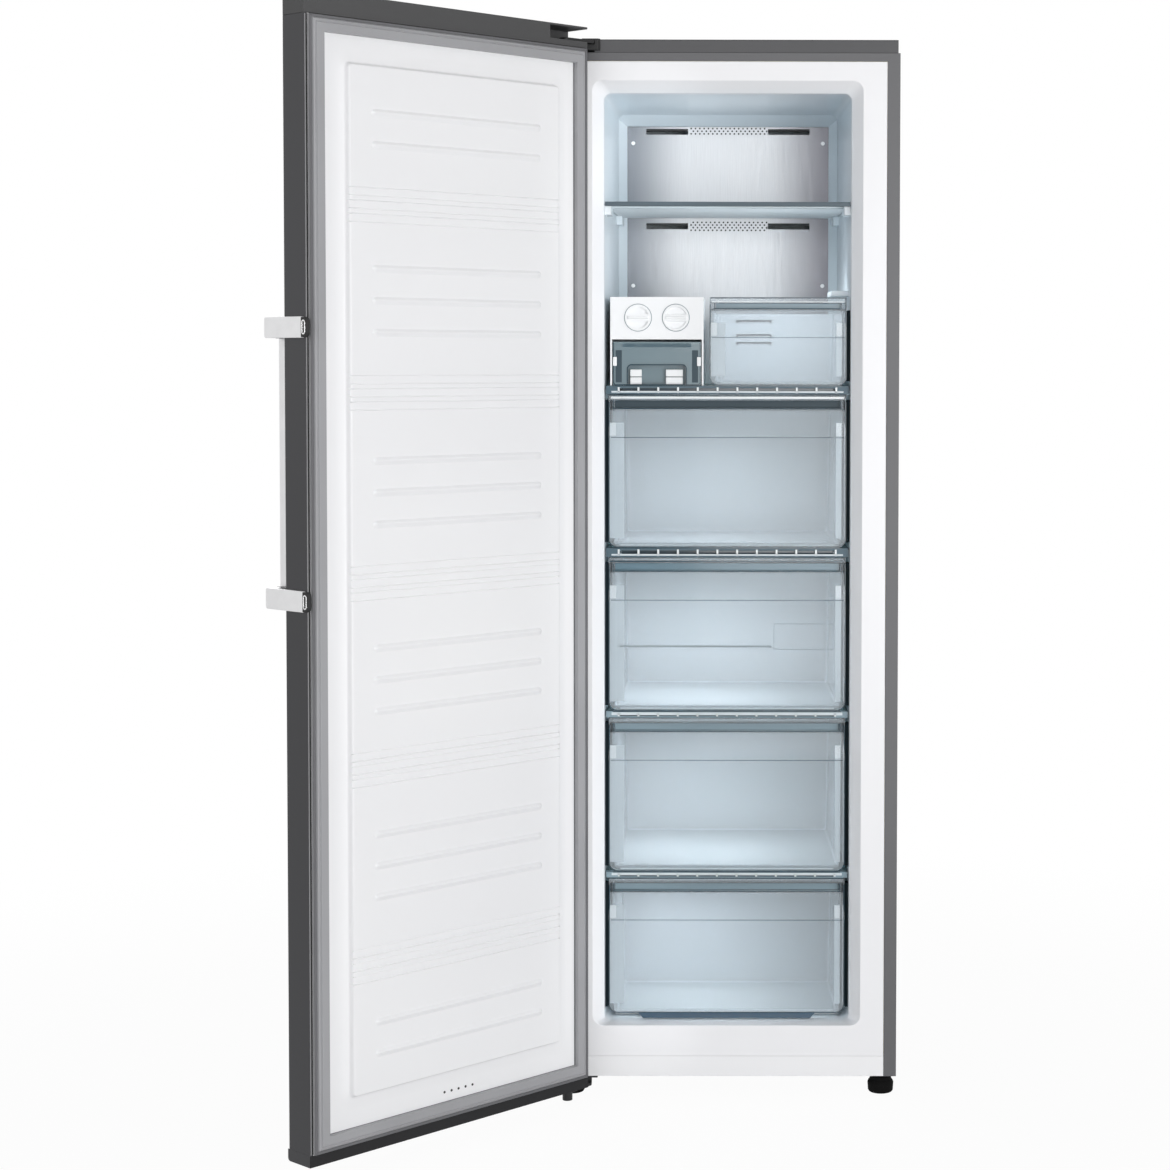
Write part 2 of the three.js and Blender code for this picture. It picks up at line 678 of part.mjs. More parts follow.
function rearDuctPanel() {
  const z0 = humpTop + seat;
  const outside = box(-ductHalfWidth, ductHalfWidth, ductFront, linerBack, z0, ductTop);
  const inside = box(
    -ductHalfWidth + ductSheet, ductHalfWidth - ductSheet, ductFront + ductSheet, linerBack + 1,
    z0 + ductSheet, ductTop - ductSheet,
  );
  let panel = outside.subtract(inside);
  const vent = (x, z) => box(x - ventWidth / 2, x + ventWidth / 2, ductFront - 5, ductFront + 5, z - ventHeight / 2, z + ventHeight / 2);
  ventRows.forEach((z) => {
    panel = panel.subtract(vent(-ventOffset, z)).subtract(vent(ventOffset, z));
  });
  smallVentRows.forEach((z) => {
    panel = panel.subtract(vent(48, z));
  });
  return panel;
}

function evaporator() {
  const y0 = ductFront + ductSheet + 6;
  const y1 = linerBack - 8;
  const z1 = evaporatorZ + evaporatorHeight;
  const half = evaporatorHalfWidth - endPlate;
  const finPitch = (2 * half - 28) / (finCount - 1);
  let block = box(-half, half, y0, y1, evaporatorZ, z1);
  for (let i = 0; i < finCount; i += 1) {
    const x = (i - (finCount - 1) / 2) * finPitch;
    block = block.subtract(box(x - finGap / 2, x + finGap / 2, y0 - 1, (y0 + y1) / 2 - 10, evaporatorZ - 1, z1 + 1));
  }
  const ends = [[-half - endPlate, -half], [half, half + endPlate]]
    .map(([x0, x1]) => box(x0, x1, y0, linerBack, evaporatorZ - 8, z1 + 8));
  return union([block, ...ends]);
}

function fanMotor() {
  const y0 = ductFront + ductSheet + motorGap;
  const can = rod('y', motorRadius, y0, linerBack - 6, 0, fanZ, 20);
  const shaft = rod('y', shaftRadius, y0 - 12, y0 + 2, 0, fanZ, 12);
  const plate = box(-3 * motorRadius, 3 * motorRadius, linerBack - 8, linerBack, fanZ - 12, fanZ + 12);
  return union([can, shaft, plate]);
}

function evaporatorFan() {
  const y1 = ductFront + ductSheet + motorGap - seat;
  const hub = rod('y', 16, y1 - 18, y1, 0, fanZ).subtract(rod('y', shaftRadius + seat, y1 - 14, y1 + 1, 0, fanZ, 12));
  const blades = [];
  for (let i = 0; i < 5; i += 1) {
    const root = (r, twist) => [[-1, -1], [1, -1], [1, 1], [-1, 1]].map(([s, t]) => {
      const along = s * (r === 12 ? 8 : 17);
      const y = along * Math.sin(twist) + t * 0.9;
      const x = along * Math.cos(twist);
      return new THREE.Vector3(x, y1 - 9 + y, r);
    });
    const blade = loft([root(12, 0.75), root(34, 0.55), root(fanRadius, 0.4)]);
    blades.push(blade.rotate([0, i * 72, 0]));
  }
  return hub.add(union(blades).translate([0, 0, fanZ]));
}

// ---------------------------------------------------------------- shelves
function shelfGlass(top, front) {
  const inset = glassSideGap;
  const shape = polygon([
    [-wallX(front) + inset, front], [wallX(front) - inset, front],
    [wallX(glassBack) - inset, glassBack], [-wallX(glassBack) + inset, glassBack],
  ]);
  return prism(shape, 'z', top - glassThick, top);
}

function shelfRail(band, top) {
  const z0 = top - band + 1.4;
  const z1 = top - 0.2;
  const half = wallX(drawerFrontY) - 2.5;
  let rail = box(-half, half, drawerFrontY - 2, drawerFrontY + railDepth - seat, z0, z1);
  const cut = (z1 - z0) * 0.5;
  for (let i = 0; i < slotCount; i += 1) {
    const x = (i - (slotCount - 1) / 2) * slotPitch;
    rail = rail.subtract(box(x - slotPitch / 2 + 2, x + slotPitch / 2 - 2, 0, drawerFrontY + railDepth + 5,
      z0 + (z1 - z0 - cut) / 2 - 0.5, z0 + (z1 - z0 + cut) / 2 - 0.5));
  }
  return rail;
}

function topShelfTrim() {
  const half = wallX(topShelfFront) - glassSideGap;
  const y0 = topShelfFront;
  const outside = box(-half, half, y0, y0 + 12, topShelfZ - glassThick - 1.6, topShelfZ + 1.6);
  const groove = box(-half - 1, half + 1, y0 + 2.5, y0 + 13, topShelfZ - glassThick - seat, topShelfZ + seat);
  return outside.subtract(groove);
}

// ---------------------------------------------------------------- drawers
// The front is one clear moulding: a panel that leans back above its crease, a finger recess and a top rail.
function drawerFront(z0, z1, x0, x1) {
  const y = drawerFrontY;
  const panelTop = z1 - rimHeight - gripHeight;
  const t = clearWall;
  const profile = polygon([
    [y, z0], [y, panelTop - creaseDrop], [y + panelLean, panelTop], [y + panelLean + t, panelTop],
    [y + panelLean + t, panelTop - 3], [y + gripDepth - t, panelTop - 3], [y + gripDepth - t, z1 - rimHeight],
    [y + 2, z1 - rimHeight], [y + 2, z1], [y + gripDepth, z1], [y + gripDepth, panelTop - 3 - t],
    [y + panelLean + t, panelTop - 3 - t], [y + t, panelTop - creaseDrop], [y + t, z0],
  ]);
  const outline = prism(roundedRect(x0, x1, z0, z1, frontCorner, 3), 'y', y - 5, y + gripDepth + 5, 5);
  const front = prism(profile, 'x', x0, x1).intersect(outline);
  const cheeks = [[x0, x0 + t], [x1 - t, x1]].map(([a, b]) => box(a, b, y + 1, y + gripDepth, z0 + frontCorner, z1 - 1.5));
  return union([front, ...cheeks.map((c) => c.intersect(outline))]);
}

// The bin is open at the top and at the front, where the moulded front closes it.
function drawerBin(z0, z1, x0, x1, back) {
  const y = drawerFrontY + gripDepth + seat;
  const ring = (shrink, yy, bottom, top, taper) => [
    new THREE.Vector3(x0 + shrink + taper, yy, bottom), new THREE.Vector3(x1 - shrink - taper, yy, bottom),
    new THREE.Vector3(x1 - shrink - taper + 3, yy, top), new THREE.Vector3(x0 + shrink + taper - 3, yy, top),
  ];
  const outside = loft([ring(binInset, y, z0, z1, 0), ring(binInset, back, z0, z1, binTaper)]);
  const inside = loft([ring(binInset + clearWall, y - 20, z0 + clearWall, z1 + 1, 0),
    ring(binInset + clearWall, back - clearWall, z0 + clearWall, z1 + 1, binTaper)]);
  const lip = loft([ring(binInset - 2, y + 20, z1 - 3, z1, 0), ring(binInset - 2, back - 12, z1 - 3, z1, binTaper)])
    .subtract(inside);
  const chin = box(x0 + 10, x1 - 10, y, y + clearWall, z0, z0 + 30);
  return outside.subtract(inside).add(lip).add(chin);
}

function smallDrawer() {
  const z0 = middleGlassTop + slide;
  const y = drawerFrontY;
  const front = drawerFront(z0, iceTop, smallDrawerLeft, drawerHalfWidth);
  const bin = drawerBin(z0, iceTop - 26, smallDrawerLeft, drawerHalfWidth, smallDrawerBack);
  const bridge = box(smallDrawerLeft + 12, drawerHalfWidth - 12, y + 1, y + gripDepth + 5, z0, z0 + clearWall);
  const cheeks = [[smallDrawerLeft, 9], [drawerHalfWidth - 9, 9]].map(([x, w]) => box(
    x, x + w, y + gripDepth - 3, y + gripDepth + 4, z0 + frontCorner, iceTop - 30,
  ));
  return union([front, bin, bridge, ...cheeks]);
}

// ---------------------------------------------------------------- ice maker
function knobPlaces() {
  return [-1, 1].map((s) => iceMiddle + s * knobSpacing / 2);
}

function iceMakerHousing() {
  const z0 = middleGlassTop + seat;
  const y = drawerFrontY;
  const w = iceWall;
  const panelBottom = iceTop - icePanelHeight;
  let body = box(iceLeft, iceRight, y, iceBack, z0, iceTop)
    .subtract(box(iceLeft + w, iceRight - w, y + w, iceBack - w, z0 - 1, iceTop - w))
    .subtract(box(iceLeft + w, iceRight - w, y - 1, y + w + 1, z0 - 1, panelBottom));
  knobPlaces().forEach((x) => {
    body = body.subtract(rod('y', knobRadius + seat, y - 1, y + w + 1, x, knobZ, 24));
    body = body.subtract(rod('y', 4 + seat, iceBack - w - 1, iceBack + 1, x, knobZ, 12));
  });
  return body;
}

function iceKnob(x) {
  const y = drawerFrontY;
  let disc = rod('y', knobRadius, y - 2, y + iceWall + 2, x, knobZ, 24);
  [-1, 1].forEach((s) => {
    const pocket = new THREE.Shape();
    pocket.absarc(x, knobZ, knobRadius - 4, s > 0 ? 0.32 : Math.PI + 0.32, s > 0 ? Math.PI - 0.32 : Math.PI * 2 - 0.32);
    pocket.closePath();
    disc = disc.subtract(prism(pocket, 'y', y - 3, y + 2.5, 8));
  });
  return disc;
}

function iceTray(x) {
  const y0 = drawerFrontY + iceWall + 14;
  const y1 = iceBack - iceWall - 6;
  let tray = box(x - trayHalfWidth, x + trayHalfWidth, y0, y1, knobZ - trayHalfHeight, knobZ + trayHalfHeight);
  const rows = 7;
  const pitch = (y1 - y0 - 4) / rows;
  for (let row = 0; row < rows; row += 1) {
    [-1, 1].forEach((s) => {
      const cx = x + s * (trayHalfWidth / 2 - 0.5);
      const cy = y0 + 2 + (row + 0.5) * pitch;
      const ring = (hx, hy, z) => [[-1, -1], [1, -1], [1, 1], [-1, 1]]
        .map(([a, b]) => new THREE.Vector3(cx + a * hx, cy + b * hy, z));
      tray = tray.subtract(loft([ring(8, pitch / 2 - 5, knobZ - trayHalfHeight + 2), ring(12, pitch / 2 - 1.5, knobZ + trayHalfHeight + 1)]));
    });
  }
  const front = rod('y', 6, drawerFrontY + iceWall + 2 + seat, y0 + 1, x, knobZ, 16);
  const back = rod('y', 4, y1 - 1, iceBack - 0.5, x, knobZ, 12);
  return union([tray, front, back]);
}

function iceBin() {
  const y = drawerFrontY + 1;
  const x0 = iceLeft + iceWall + 1;
  const x1 = iceRight - iceWall - 1;
  const z0 = middleGlassTop + slide;
  const z1 = iceTop - icePanelHeight - 4;
  const back = iceBack - iceWall - 4;
  const t = clearWall;
  const pocketX = pocketHalfWidth;
  const pocketTop = z0 + pocketHeight;
  const middle = (x0 + x1) / 2;
  const shell = prism(roundedRect(x0, x1, z0, z1, 5, 0), 'y', y, back, 3)
    .subtract(prism(roundedRect(x0 + t, x1 - t, z0 + t, z1 + 20, 4, 0), 'y', y + t, back - t, 3));
  const pocket = box(middle - pocketX - t, middle + pocketX + t, y, y + pocketDepth, z0, pocketTop + t);
  const hollow = prism(roundedRect(middle - pocketX, middle + pocketX, z0 - 10, pocketTop, 0, 8), 'y', y - 1, y + pocketDepth - t, 4);
  return shell.add(pocket).subtract(hollow);
}

// ---------------------------------------------------------------- door
function doorOutline(grow) {
  const shape = new THREE.Shape();
  const x = doorHalf + grow;
  const y0 = doorOuter - grow;
  const y1 = doorInner + grow;
  const r = doorCorner + grow;
  shape.moveTo(x, y1);
  shape.lineTo(-x, y1);
  shape.lineTo(-x, y0 + r);
  shape.absarc(-x + r, y0 + r, r, Math.PI, Math.PI * 1.5);
  shape.absarc(x - r, y0 + r, r, Math.PI * 1.5, Math.PI * 2);
  shape.closePath();
  return shape;
}

const skinBottom = doorBottom + bottomCapHeight;
const skinTop = doorTop - topCapHeight;

function doorSkin() {
  const outside = prism(doorOutline(0), 'z', skinBottom, skinTop, 4);
  const inside = prism(doorOutline(-steel), 'z', skinBottom - 1, skinTop + 1, 4);
  const mouth = box(-doorHalf + doorEdgeFold, doorHalf - doorEdgeFold, doorInner - steel - 1, doorInner + 1, skinBottom - 1, skinTop + 1);
  return outside.subtract(inside).subtract(mouth);
}

function plugForm(shrink) {
  const half = plugHalfWidth - shrink;
  return loft([
    ringY(doorInner - linerWall - (shrink > 0 ? 0.5 : 0), half, plugBottom + shrink, plugTop - shrink, mouthRadius - shrink),
    ringY(doorInner, half, plugBottom + shrink, plugTop - shrink, mouthRadius - shrink),
    ringY(doorInner + plugRise - shrink, half - plugDraft, plugBottom + plugDraft + shrink,
      plugTop - plugDraft - shrink, mouthRadius - shrink),
  ]);
}

function doorInsulation() {
  const slab = prism(doorOutline(-steel - seat), 'z', skinBottom + seat, skinTop - seat, 4)
    .subtract(box(-doorHalf, doorHalf, doorInner - linerWall - seat, doorInner + 1, 0, doorTop));
  return slab.add(plugForm(linerWall + seat));
}

function doorLiner() {
  const side = doorHalf - doorEdgeFold - seat;
  const plate = box(-side, side, doorInner - linerWall, doorInner, skinBottom + seat, skinTop - seat);
  const face = doorInner + plugRise;
  const ribs = [];
  ribGroups.forEach(([middle, count]) => {
    for (let i = 0; i < count; i += 1) {
      const z = middle + (i - (count - 1) / 2) * ribPitch;
      const section = polygon([[face - 0.5, z - ribWidth / 2], [face, z - ribWidth / 2],
        [face + ribRise, z - ribWidth / 4], [face + ribRise, z + ribWidth / 4], [face, z + ribWidth / 2], [face - 0.5, z + ribWidth / 2]]);
      ribs.push(prism(section, 'x', -plugHalfWidth + ribInset, plugHalfWidth - ribInset));
    }
  });
  return union([plate.add(plugForm(0)).subtract(plugForm(linerWall)), ...ribs]);
}

// Profile of the gasket, from its outer edge inwards: width, then height above the door's inner plane.
// Its bellows stay inside the circle that the hinge edge sweeps.
const gasketProfile = [[0, seat], [0, 3.5], [1.5, 5.2], [3.5, 5.6], [4.6, 4.2], [5.4, 4.2], [6.5, 7.2], [9, 8.2],
  [10.3, 6.8], [11.2, 6.8], [12.5, 9.2], [14, 1], [26, 1], [26, seat]];

function doorGasket() {
  const height = doorGap - gasketGap;
  const x = doorHalf - gasketInset;
  const z0 = skinBottom + 1;
  const z1 = skinTop - 1;
  const profile = gasketProfile.map(([w, h]) => [w, h === 1 ? height : h]);
  const corners = [[-1, -1], [1, -1], [1, 1], [-1, 1]];
  const rings = corners.map(([sx, sz]) => profile.map(([w, h]) => new THREE.Vector3(
    sx * (x - w), doorInner + h, sz < 0 ? z0 + w : z1 - w,
  )));
  const count = profile.length;
  const positions = rings.flat().flatMap((p) => [p.x, p.y, p.z]);
  const index = [];
  for (let c = 0; c < 4; c += 1) {
    for (let i = 0; i < count; i += 1) {
      const a = c * count + i;
      const b = c * count + (i + 1) % count;
      const d = ((c + 1) % 4) * count + i;
      const e = ((c + 1) % 4) * count + (i + 1) % count;
      index.push(a, b, e, a, e, d);
    }
  }
  const geometry = new THREE.BufferGeometry();
  geometry.setAttribute('position', new THREE.Float32BufferAttribute(positions, 3));
  geometry.setIndex(index);
  return solid(outward(geometry));
}

const notchTop = doorTop - 3.5;
const notchFloor = armFloor - 2;
const notchEnd = armRight + 18;

function doorTopCap() {
  const cap = prism(doorOutline(0), 'z', skinTop + seat, doorTop, 4);
  const notch = box(-doorHalf - 1, notchEnd, pinY - 18, doorInner + 1, notchFloor, notchTop);
  const hole = rod('z', pinRadius + seat, skinTop + 1.5, notchTop, pinX, pinY);
  return cap.subtract(notch).subtract(hole);
}

function doorBottomCap() {
  const cap = prism(doorOutline(0), 'z', doorBottom, skinBottom - seat, 4);
  const hole = rod('z', pinRadius + seat, doorBottom - 1, skinBottom - 2.5, pinX, pinY);
  return cap.subtract(hole);
}

const plateOuter = doorHalf + seat + bracketThick;
const barX1 = doorHalf - barInset;
const barX0 = barX1 - barWidth;
const barY0 = doorOuter - bracketReach;

function handleBracket(z0) {
  const z1 = z0 + bracketHeight;
  const sidePlate = box(doorHalf + seat, plateOuter, barY0, doorInner - spacerLength, z0, z1);
  const cross = box(barX0 - 2, doorHalf + seat + 1, barY0, doorOuter - 24, z0, z1);
  const socket = box(barX0 - seat, barX1 + seat, barY0 - seat, barY0 + barThick + seat,
    z0 === handleBottomZ ? z1 - barSeat : z0 - 1, z0 === handleBottomZ ? z1 + 1 : z0 + barSeat);
  return sidePlate.add(cross).subtract(socket.translate([0, 4, 0]));
}

function handleBar() {
  const shape = roundedRect(barX0, barX1, barY0 + 4, barY0 + 4 + barThick, 2);
  return prism(shape, 'z', handleBottomZ + bracketHeight - barSeat + seat, handleTopZ - bracketHeight + barSeat - seat, 3);
}

function handleSpacer(z0) {
  const y0 = doorInner - spacerLength + seat;
  const y1 = doorInner + 7;
  const middle = z0 + bracketHeight / 2;
  const wing = box(doorHalf + seat, plateOuter, y0, y1, z0 + 1, z0 + bracketHeight - 1);
  const hook = box(doorHalf - gasketInset + seat, doorHalf + seat + 1, doorInner + seat, y1, z0 + 3, z0 + bracketHeight - 3);
  const capDisc = rod('x', 6, plateOuter - 1, plateOuter + 1, (y0 + y1) / 2, middle, 16);
  return union([wing, hook, capDisc]);
}

// ---------------------------------------------------------------- assembly
addPart(freezer, 'outer_shell', outerShell(), sideSteel);
addPart(freezer, 'insulation_body', insulationBody(), foam);
addPart(freezer, 'inner_liner', innerLiner(), whiteLiner);
addPart(freezer, 'top_cover', topCover(), greyPlastic);
addPart(freezer, 'rear_panel', rearPanel(), zincSteel);
addPart(freezer, 'kickplate', kickplate(), whitePlastic);
addPart(freezer, 'base_frame', baseFrame(), zincSteel);
addPart(freezer, 'upper_hinge_bracket', upperHingeBracket(), zincSteel);
addPart(freezer, 'upper_hinge_cover', upperHingeCover(), blackPlastic);
addPart(freezer, 'lower_hinge_bracket', lowerHingeBracket(), blackPlastic);
addPart(freezer, 'front_foot_left', frontFoot(-1), blackPlastic);
addPart(freezer, 'front_foot_right', frontFoot(1), blackPlastic);
addPart(freezer, 'rear_roller_left', rearRoller(-1), blackPlastic);
addPart(freezer, 'rear_roller_right', rearRoller(1), blackPlastic);
addPart(freezer, 'compressor', compressor(), blackPlastic);
addPart(freezer, 'drip_tray', dripTray(), blackPlastic);
addPart(freezer, 'discharge_pipe', dischargePipe(), copper);
addPart(freezer, 'suction_pipe', suctionPipe(), copper);
addPart(freezer, 'machine_room_cover', machineRoomCover(), zincSteel);
addPart(freezer, 'mains_inlet', mainsInlet(), blackPlastic);
addPart(freezer, 'rear_duct_panel', rearDuctPanel(), brushedPanel);
addPart(freezer, 'evaporator', evaporator(), brightMetal);
addPart(freezer, 'fan_motor', fanMotor(), zincSteel);
addPart(freezer, 'evaporator_fan', evaporatorFan(), whitePlastic);
addPart(freezer, 'top_shelf_glass', shelfGlass(topShelfZ, topShelfFront + 2.5 + seat), glassPlate);
addPart(freezer, 'top_shelf_trim', topShelfTrim(), blackPlastic);
drawers.forEach((d, i) => {
  const name = ['shelf_low', 'shelf_mid', 'shelf_high', 'ice_shelf'][i];
  addPart(freezer, `${name}_glass`, shelfGlass(d.shelfTop, drawerFrontY + railDepth), glassPlate);
  addPart(freezer, `${name}_rail`, shelfRail(shelfBands[i], d.shelfTop), clearBlue);
});
drawers.forEach((d, i) => {
  const number = drawers.length - i;
  let front = drawerFront(d.bottom, d.top, -drawerHalfWidth, drawerHalfWidth);
  if (i === 0) {
    const keelHalf = drawerHalfWidth - keelInset;
    const keel = polygon([[-keelHalf - 14, d.bottom + 1], [-keelHalf, innerFloor + 2],
      [keelHalf, innerFloor + 2], [keelHalf + 14, d.bottom + 1]]);
    front = front.add(prism(keel, 'y', drawerFrontY + 1, drawerFrontY + 5));
  }
  const back = i === 0 ? lowestDrawerBack : drawerBack;
  const bin = drawerBin(i === 0 ? innerFloor + slide : d.bottom, d.top - rimHeight, -drawerHalfWidth, drawerHalfWidth, back);
  addPart(freezer, `drawer_${number}_front`, front, clearBlue);
  addPart(freezer, `drawer_${number}_bin`, bin, clearBlue);
});
addPart(freezer, 'small_drawer', smallDrawer(), clearBlue);
addPart(freezer, 'ice_maker_housing', iceMakerHousing(), whitePlastic);
knobPlaces().forEach((x, i) => {
  const side = ['left', 'right'][i];
  addPart(freezer, `ice_knob_${side}`, iceKnob(x), whitePlastic);
  addPart(freezer, `ice_tray_${side}`, iceTray(x), whitePlastic);
});
addPart(freezer, 'ice_bin', iceBin(), clearBlue);

addPart(door, 'door_skin', doorSkin(), greySteel);
addPart(door, 'door_insulation', doorInsulation(), foam);
addPart(door, 'door_liner', doorLiner(), whiteLiner);
addPart(door, 'door_gasket', doorGasket(), greyRubber);
addPart(door, 'door_top_cap', doorTopCap(), greyPlastic);
addPart(door, 'door_bottom_cap', doorBottomCap(), greyPlastic);
addPart(door, 'handle_bar', handleBar(), brightMetal);
addPart(door, 'handle_bracket_upper', handleBracket(handleTopZ - bracketHeight), brightMetal);
addPart(door, 'handle_bracket_lower', handleBracket(handleBottomZ), brightMetal);
addPart(door, 'handle_spacer_upper', handleSpacer(handleTopZ - bracketHeight), blackPlastic);
addPart(door, 'handle_spacer_lower', handleSpacer(handleBottomZ), blackPlastic);

freezer.updateMatrixWorld(true);
const bounds = new THREE.Box3().setFromObject(freezer, true);
freezer.position.set(-(bounds.min.x + bounds.max.x) / 2, -(bounds.min.y + bounds.max.y) / 2, -bounds.min.z);

export default freezer;
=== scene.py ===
# An upright frost-free freezer with its door standing open: the visual pieces, materials, light and camera.
import bmesh
import bpy
import math
from mathutils import Matrix, Vector


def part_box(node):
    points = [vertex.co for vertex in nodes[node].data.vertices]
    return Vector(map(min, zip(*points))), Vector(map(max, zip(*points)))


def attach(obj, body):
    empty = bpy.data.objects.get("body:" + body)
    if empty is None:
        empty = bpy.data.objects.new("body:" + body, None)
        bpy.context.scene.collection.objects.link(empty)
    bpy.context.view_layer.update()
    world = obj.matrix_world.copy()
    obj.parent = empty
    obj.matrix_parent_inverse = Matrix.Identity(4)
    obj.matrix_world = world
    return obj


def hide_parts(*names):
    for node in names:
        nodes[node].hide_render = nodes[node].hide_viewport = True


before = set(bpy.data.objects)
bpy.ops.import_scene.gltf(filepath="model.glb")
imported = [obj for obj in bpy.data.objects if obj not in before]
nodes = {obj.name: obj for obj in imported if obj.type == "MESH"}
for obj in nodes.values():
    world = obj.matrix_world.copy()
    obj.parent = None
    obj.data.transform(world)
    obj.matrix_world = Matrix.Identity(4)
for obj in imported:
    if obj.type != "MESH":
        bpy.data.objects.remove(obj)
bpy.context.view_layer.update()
bpy.ops.object.select_all(action="DESELECT")
print("frame loaded:", len(nodes), "nodes")

shellLow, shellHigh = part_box("outer_shell")
centreX = (shellLow.x + shellHigh.x) / 2
frontY = shellLow.y


mm = 0.001


def at(x, y, z):  # cabinet millimetres, from its middle, its front plane and the floor
    return Vector((centreX + x / 1000, frontY + y / 1000, z / 1000))


# ---- camera
cameraPlace = {"x": 2.48, "y": -4265.6, "z": 1285.7, "yaw": 0.213, "pitch": 2.472, "roll": 0.105,
               "lens": 75.70, "shiftX": -0.1307, "shiftY": -0.1}


def makeCamera(c):
    bpy.ops.object.camera_add(location=at(c["x"], c["y"], c["z"]))
    camera = bpy.context.active_object
    camera.name = "viewCamera"
    turn = (Matrix.Rotation(-math.radians(c["yaw"]), 4, "Z")
            @ Matrix.Rotation(math.radians(90 - c["pitch"]), 4, "X")
            @ Matrix.Rotation(math.radians(c["roll"]), 4, "Z"))
    camera.rotation_euler = turn.to_euler()
    camera.data.sensor_width = 36
    camera.data.lens = c["lens"]
    camera.data.shift_x = c["shiftX"]
    camera.data.shift_y = c["shiftY"]
    camera.data.clip_end = 60
    bpy.context.scene.camera = camera


makeCamera(cameraPlace)
bpy.context.scene.view_settings.view_transform = "Standard"
print("camera placed")


# ---- materials
def linear(hexColour, alpha=1.0):
    parts = [int(hexColour[i:i + 2], 16) / 255 for i in (1, 3, 5)]
    return tuple(v / 12.92 if v <= 0.04045 else ((v + 0.055) / 1.055) ** 2.4 for v in parts) + (alpha,)


def addNode(tree, kind, inputs=None, **settings):
    node = tree.nodes.new(kind)
    for name, value in settings.items():
        setattr(node, name, value)
    for socket, value in (inputs or {}).items():
        if isinstance(value, bpy.types.NodeSocket):
            tree.links.new(value, node.inputs[socket])
        else:
            node.inputs[socket].default_value = value
    return node


def newMaterial(name, colour, roughness, metallic=0.0, **sockets):
    material = bpy.data.materials.new(name)
    material.use_nodes = True
    material.diffuse_color = linear(colour)
    tree = material.node_tree
    shader = tree.nodes["Principled BSDF"]
    shader.inputs["Base Color"].default_value = linear(colour)
    shader.inputs["Roughness"].default_value = roughness
    shader.inputs["Metallic"].default_value = metallic
    for socket, value in sockets.items():
        shader.inputs[socket.replace("_", " ")].default_value = value
    return material, tree, shader


def objectPlace(tree, scale):
    place = addNode(tree, "ShaderNodeTexCoord").outputs["Object"]
    return addNode(tree, "ShaderNodeMapping", {"Vector": place, "Scale": scale}).outputs["Vector"]


def objectAxis(tree, axis):  # how far along one axis the surface lies, in metres
    place = addNode(tree, "ShaderNodeTexCoord").outputs["Object"]
    return addNode(tree, "ShaderNodeSeparateXYZ", {"Vector": place}).outputs[axis]


def blotches(tree, size, detail=3.0, stretch=(1, 1, 1)):  # soft clouds, their size in mm
    scale = tuple(1000 / size * s for s in stretch)
    return addNode(tree, "ShaderNodeTexNoise",
                   {"Vector": objectPlace(tree, scale), "Scale": 1.0, "Detail": detail}).outputs["Fac"]


def grain(tree, shader, size, height, stretch=(1, 1, 1), detail=2.0):  # a relief, its size and height in mm
    noise = blotches(tree, size, detail, stretch)
    bump = addNode(tree, "ShaderNodeBump", {"Height": noise, "Distance": height / 1000, "Strength": 1.0})
    tree.links.new(bump.outputs["Normal"], shader.inputs["Normal"])
    return noise


def mixColour(tree, factor, first, second):
    return addNode(tree, "ShaderNodeMix", {"Factor": factor, "A": first, "B": second},
                   data_type="RGBA").outputs[2]


def tint(tree, shader, source, low, high, start=0.3, end=0.7):
    ramp = addNode(tree, "ShaderNodeMapRange", {"Value": source, "From Min": start, "From Max": end})
    colour = mixColour(tree, ramp.outputs["Result"], linear(low), linear(high))
    tree.links.new(colour, shader.inputs["Base Color"])
    return colour


def roughen(tree, shader, source, low, high, start=0.3, end=0.7):
    ramp = addNode(tree, "ShaderNodeMapRange",
                   {"Value": source, "From Min": start, "From Max": end, "To Min": low, "To Max": high})
    tree.links.new(ramp.outputs["Result"], shader.inputs["Roughness"])


def coatedSteel(name, low, high, roughness):  # coil-coated steel: a faint orange peel and a soft sheen
    material, tree, shader = newMaterial(name, high, roughness, 0.25)
    grain(tree, shader, 1.6, 0.012)
    tint(tree, shader, blotches(tree, 700, 0.0), low, high, 0.1, 0.9)
    roughen(tree, shader, blotches(tree, 300, 0.0), roughness - 0.01, roughness + 0.02, 0.1, 0.9)
    return material


def mouldedPlastic(name, low, high, roughness, grainSize=0.9, grainHeight=0.02, **sockets):
    # moulded in a spark-eroded tool: a fine matt grain
    material, tree, shader = newMaterial(name, high, roughness, **sockets)
    grain(tree, shader, grainSize, grainHeight)
    tint(tree, shader, blotches(tree, 260, 0.0), low, high, 0.1, 0.9)
    roughen(tree, shader, blotches(tree, 60, 1.0), roughness - 0.01, roughness + 0.03)
    return material


def linerSheet(name, low, high, roughness, front=None):  # vacuum-formed HIPS sheet: satin, slightly wavy
    material, tree, shader = newMaterial(name, high, roughness)
    grain(tree, shader, 90, 0.012, detail=0.0)
    cloud = tint(tree, shader, blotches(tree, 420, 0.0), low, high, 0.1, 0.9)
    roughen(tree, shader, blotches(tree, 180, 0.0), roughness - 0.02, roughness + 0.02, 0.1, 0.9)
    if front:  # painted light: warm white on the front face, tinted bluish deeper inside for the cold room's light
        depth = addNode(tree, "ShaderNodeMapRange",
                        {"Value": objectAxis(tree, "Y"), "From Min": frontY + 8 * mm,
                         "From Max": frontY + 60 * mm}, interpolation_type="SMOOTHSTEP")
        colour = mixColour(tree, depth.outputs["Result"], linear(front), cloud)
        tree.links.new(colour, shader.inputs["Base Color"])
    return material


